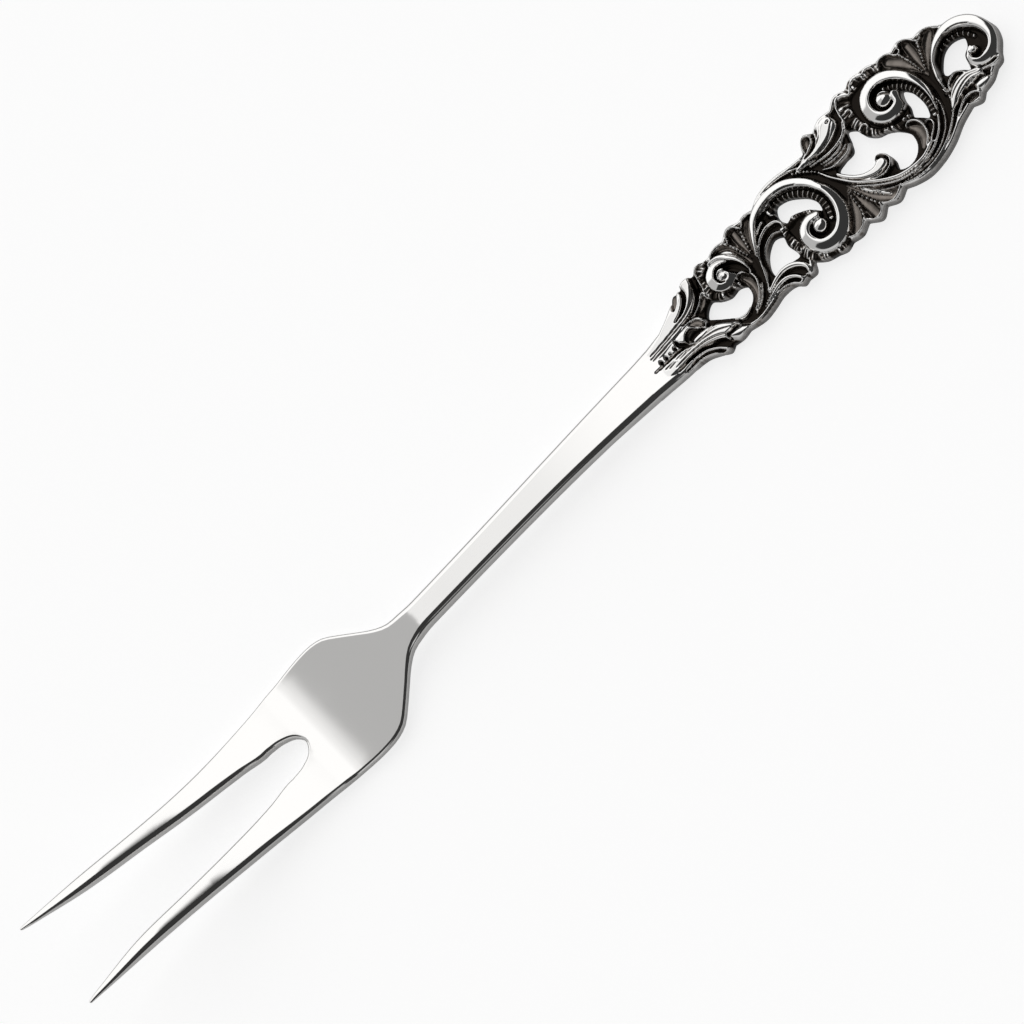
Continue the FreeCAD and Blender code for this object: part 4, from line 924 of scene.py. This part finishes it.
def within(x, y, starts, ends):
    """Whether a place lies within the loops whose edges run between those starts and ends."""
    (ax, ay), (bx, by) = starts.T, ends.T
    straddles = (ay > y) != (by > y)
    with np.errstate(divide="ignore", invalid="ignore"):
        right = x < ax + (y - ay) * (bx - ax) / (by - ay)
    return np.count_nonzero(straddles & right) % 2 == 1


def close_down(vertices, faces, shade):
    """Adds upright walls below the free edges of a top surface, and a flat back."""
    sides = dict.fromkeys(side for face in faces for side in zip(face, face[1:] + face[:1]))
    free = {a: b for a, b in sides if (b, a) not in sides}
    foot = {}
    for a in free:
        x, y, z = vertices[a]
        foot[a] = len(vertices)
        vertices.append((x, y, underside(x)))
        shade.append(shade[a])
    walls = [(a, foot[a], foot[b], b) for a, b in free.items()]
    order = list(free)
    spot = {a: n for n, a in enumerate(order)}
    edges = [(spot[a], spot[b]) for a, b in free.items()]
    flat = [Vector(vertices[a][:2]) for a in order]
    places, _, loops, origins, *_ = delaunay_2d_cdt(flat, edges, [], 0, MERGE)
    starts = np.array([vertices[a][:2] for a in free])
    ends = np.array([vertices[b][:2] for b in free.values()])
    back = []
    for face in loops:
        middle = sum((places[n] for n in face), Vector((0, 0))) / len(face)
        if within(middle.x, middle.y, starts, ends):
            back.append(tuple(foot[order[origins[n][0]]] for n in reversed(face)))
    return vertices, faces + walls + back, shade


def shank_outline():
    """Edge of tines, plate and stem, from the stem round both tines and back, as points."""
    def spread(start, stop):
        return np.linspace(start, stop, max(2, round(abs(stop - start) / SHANK_SPACING)) + 1)

    outer = [(x, outer_half(x)) for x in spread(CARVED_X, TIP_X)[:-1]]
    inner = [(x, outer_half(x) - tine_width(x)) for x in spread(TIP_X, SLOT_X)[1:-1]]
    radius = tine_width(TIP_X) / 2
    middle = outer_half(TIP_X) - radius
    cap = [(TIP_X + radius * (1 - math.sin(a)), middle + radius * math.cos(a))
           for a in np.linspace(0, math.pi, CAP_STEPS)]
    end = smooth_line(SLOT_END + [(x, -y) for x, y in SLOT_END[-2::-1]], SLOT_SPACING)
    upper = outer + cap + inner
    return np.array(upper + [tuple(p) for p in end] + [(x, -y) for x, y in reversed(upper)])


def shank_rows():
    """Vertices of the rounded edge swept along the outline, and their numbers, one row for each place."""
    outline = shank_outline()
    heading = np.gradient(outline, axis=0)
    heading /= np.linalg.norm(heading, axis=1)[:, None]
    heading[0] = (-1, 0)
    heading[-1] = (1, 0)
    turns = np.linspace(0, math.pi / 2, ROUND_STEPS)
    vertices = []
    rows = []
    for (x, y), (hx, hy) in zip(outline, heading):
        radius = edge_round(x)
        low_radius = radius
        if x >= CARVED_X - LOW_ROUND_FADE:
            low_radius = min(radius, radius * (CARVED_X - x) / LOW_ROUND_FADE + LOW_ROUND)
        rim = [(radius, a, True) for a in turns[::-1]] + [(low_radius, a, False) for a in turns]
        rows.append(list(range(len(vertices), len(vertices) + len(rim))))
        for size, a, above in rim:
            px = x - hy * size * (1 - math.cos(a))
            rise = size * (1 - math.sin(a))
            z = underside(px) + (thickness(px) - rise if above else rise)
            vertices.append((px, y + hx * size * (1 - math.cos(a)), z))
    return vertices, rows


def shank_mesh():
    """Tines, plate and stem: the swept edge, filled above and below, and closed at the stem's end."""
    vertices, rows = shank_rows()
    faces = []
    for a, b in zip(rows, rows[1:]):
        faces += [(a[k], a[k + 1], b[k + 1], b[k]) for k in range(len(a) - 1)]
    for above, column in ((True, 0), (False, -1)):
        ring = [row[column] for row in rows]
        path = np.array([vertices[n][:2] for n in ring])
        ends = np.roll(path, -1, axis=0)
        seeds = [(x, y) for x in np.arange(TIP_X + TIP_CLEAR, CARVED_X - END_CLEAR, SEED_SPACING)
                 for y in np.arange(*SEED_Y, SEED_SPACING)
                 if within(x, y, path, ends) and np.hypot(*(path - (x, y)).T).min() > SEED_CLEAR]
        count = len(ring)
        edges = [(n, (n + 1) % count) for n in range(count)]
        places, _, loops, origins, *_ = delaunay_2d_cdt(
            [Vector(place) for place in (*path, *seeds)], edges, [list(range(count))], 1, MERGE)
        names = []
        for place, origin in zip(places, origins):
            if origin and origin[0] < count:
                names.append(ring[origin[0]])
            else:
                names.append(len(vertices))
                z = underside(place.x) + (thickness(place.x) if above else 0)
                vertices.append((place.x, place.y, z))
        for face in loops:
            corners = [names[n] for n in face]
            area = sum(places[face[k - 1]].cross(places[face[k]]) for k in range(len(face)))
            if (area > 0) != above:
                corners.reverse()
            faces.append(tuple(corners))
    faces.append(tuple(rows[0][::-1] + rows[-1]))
    return vertices, faces, [0.0] * len(vertices)


def place_object(name, data):
    """A new object in the scene."""
    made = bpy.data.objects.new(name, data)
    bpy.context.scene.collection.objects.link(made)
    return made


def piece(name, vertices, faces, shade, material):
    """A smooth mesh object in metres, with how blackened each point is."""
    mesh = bpy.data.meshes.new(name)
    mesh.from_pydata([(x * MM, y * MM, z * MM) for x, y, z in vertices], [], faces)
    mesh.validate()
    ends = np.array([abs(v.co.x / MM - CARVED_X) < TOLERANCE for v in mesh.vertices])
    sharp = mesh.attributes.new("sharp_edge", "BOOLEAN", "EDGE")
    sharp.data.foreach_set("value", [bool(ends[e.vertices[0]] and ends[e.vertices[1]]) for e in mesh.edges])
    # How blackened each point is: patina, with some painted shade and painted sheen from the carving.
    layer = mesh.attributes.new("tarnish_and_painted_shading", "FLOAT", "POINT")
    layer.data.foreach_set("value", np.array(shade, np.float32)[:len(mesh.vertices)])
    mesh.shade_smooth()
    mesh.materials.append(material)
    return place_object(name, mesh)


def node(tree, kind, inputs, output, **settings):
    """A new shader node with its inputs set or linked; returns the named output."""
    made = tree.nodes.new("ShaderNode" + kind)
    for name, value in settings.items():
        setattr(made, name, value)
    for name, value in inputs.items():
        if isinstance(value, bpy.types.NodeSocket):
            tree.links.new(value, made.inputs[name])
        else:
            made.inputs[name].default_value = value
    return made.outputs[output]


def calculate(tree, operation, *values):
    """A sum on numbers or on the outputs of nodes."""
    return node(tree, "Math", dict(enumerate(values)), "Value", operation=operation)


def step(tree, value, low, high, bottom=0.0, top=1.0):
    """A smooth step of a value: bottom below low and top above high."""
    return node(tree, "MapRange", {"Value": value, "From Min": low, "From Max": high, "To Min": bottom,
                                   "To Max": top}, "Result", interpolation_type="SMOOTHSTEP")


def noise(tree, place, scale, detail):
    """Noise over the object."""
    return node(tree, "TexNoise", {"Vector": place, "Scale": scale, "Detail": detail}, "Fac")


def silver():
    """Polished cast silver, blackened where the carving is deep, with fine wear in the polish. The
    blackening also holds some painted shade and painted sheen.
    """
    material = bpy.data.materials.new("silver")
    material.use_nodes = True
    tree = material.node_tree
    place = node(tree, "TexCoord", {}, "Object")
    tarnish_and_painted_shading = node(tree, "Attribute", {}, "Fac", attribute_name="tarnish_and_painted_shading")
    offset = calculate(tree, "SUBTRACT", tarnish_and_painted_shading, STAIN / 2)
    depth = calculate(tree, "MULTIPLY_ADD", noise(tree, place, *STAIN_NOISE), STAIN, offset)
    colour = node(tree, "ValToRGB", {"Fac": depth}, "Color")
    stops = colour.node.color_ramp.elements
    stops.new(TONES[1][0])
    for stop, (position, tone) in zip(stops, TONES):
        stop.position = position
        stop.color = tone
    polish = node(tree, "MapRange", {"Value": noise(tree, place, *CLOUD_NOISE), **POLISH}, "Result")
    rough = calculate(tree, "MULTIPLY_ADD", tarnish_and_painted_shading, TARNISH_ROUGHNESS, polish)
    stretched = node(tree, "Mapping", {"Vector": place, "Scale": SCRATCH_STRETCH}, "Vector")
    scratches = node(tree, "Bump", {"Height": noise(tree, stretched, *SCRATCH_NOISE), **SCRATCH}, "Normal")
    shader = tree.nodes["Principled BSDF"].inputs
    shader["Metallic"].default_value = 1.0
    for name, source in (("Base Color", colour), ("Roughness", rough), ("Normal", scratches)):
        tree.links.new(source, shader[name])
    return material


def studio():
    """The sky by direction: a softbox with a soft edge, a grey screen on the left, the dark camera side and
    right side, and grey low on the camera side. The camera itself sees a white page."""
    world = bpy.data.worlds.new("studio")
    bpy.context.scene.world = world
    world.use_nodes = True
    tree = world.node_tree
    tree.nodes.clear()
    direction = node(tree, "TexCoord", {}, "Generated")
    x, y, z = node(tree, "SeparateXYZ", {"Vector": direction}, "X").node.outputs
    behind = step(tree, y, *BEHIND)
    level = LEFT_SCREEN
    for low, high, rise in SOFTBOX_RISES:
        clear = calculate(tree, "MAXIMUM", step(tree, x, low, high), behind)
        level = calculate(tree, "MULTIPLY_ADD", clear, rise, level)
    near = step(tree, calculate(tree, "MULTIPLY_ADD", x, NEAR_SLANT, y), *NEAR, 1.0, 0.0)
    dark = calculate(tree, "MULTIPLY", near, step(tree, z, *LIFTED))
    grey = calculate(tree, "SUBTRACT", near, dark)
    side = step(tree, calculate(tree, "MULTIPLY_ADD", y, SIDE_SLANT, x), *SIDE)
    for share, light in ((grey, LOW_GREY), (dark, CAMERA_SIDE), (side, CAMERA_SIDE)):
        level = node(tree, "Mix", {"Factor": share, "A": level, "B": light}, "Result")
    sky = node(tree, "Background", {"Color": WHITE, "Strength": level}, "Background")
    page = node(tree, "Background", {"Color": WHITE}, "Background")
    seen = node(tree, "LightPath", {}, "Is Camera Ray")
    both = node(tree, "MixShader", {0: seen, 1: sky, 2: page}, "Shader")
    output = tree.nodes.new("ShaderNodeOutputWorld")
    tree.links.new(both, output.inputs["Surface"])


def table():
    """A plain white floor that keeps the fork's shadow, and is brighter where the fork mirrors it."""
    mesh = bpy.data.meshes.new("table")
    signs = ((-1, -1), (1, -1), (1, 1), (-1, 1))
    mesh.from_pydata([(x * FLOOR_HALF, y * FLOOR_HALF, 0) for x, y in signs], [], [(0, 1, 2, 3)])
    floor = place_object("table", mesh)
    floor.location.z = -FLOOR_GAP
    material = bpy.data.materials.new("table")
    material.use_nodes = True
    tree = material.node_tree
    tree.nodes.clear()
    rays = node(tree, "LightPath", {}, "Is Camera Ray").node.outputs
    seen = calculate(tree, "MULTIPLY", rays["Is Camera Ray"], PAPER_GLOW)
    strength = calculate(tree, "MULTIPLY_ADD", rays["Is Glossy Ray"], MIRRORED_GLOW, seen)
    paper = node(tree, "BsdfDiffuse", {"Color": PAPER}, "BSDF")
    glow = node(tree, "Emission", {"Strength": strength}, "Emission")
    both = node(tree, "AddShader", {0: paper, 1: glow}, "Shader")
    output = tree.nodes.new("ShaderNodeOutputMaterial")
    tree.links.new(both, output.inputs["Surface"])
    mesh.materials.append(material)


def camera():
    """The photograph's view: from above and a little from the near side, turned so the fork lies aslant."""
    across = Vector(VIEW_ACROSS).normalized()
    toward = across.cross(Vector(VIEW_ALONG)).normalized()
    away = toward.cross(across).normalized()
    right = across * math.cos(VIEW_TURN) - away * math.sin(VIEW_TURN)
    up = across * math.sin(VIEW_TURN) + away * math.cos(VIEW_TURN)
    centre = right * VIEW_CENTRE[0] + up * VIEW_CENTRE[1]
    data = bpy.data.cameras.new("camera")
    data.sensor_width = SENSOR
    data.lens = PIXELS_PER_METRE / PICTURE_SIDE * SENSOR * VIEW_DISTANCE
    data.clip_end = 100.0
    eye = place_object("camera", data)
    turned = Matrix((right, up, toward)).transposed().to_4x4()
    eye.matrix_world = Matrix.Translation(centre + toward * VIEW_DISTANCE) @ turned
    bpy.context.scene.camera = eye


bpy.context.scene.view_settings.view_transform = "Standard"
metal = silver()
for name, made in (("fork_handle", handle_mesh()), ("fork_shank", shank_mesh())):
    part = piece(name, *made, metal)
    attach(part, "root")
    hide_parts("serving_fork")
studio()
table()
camera()
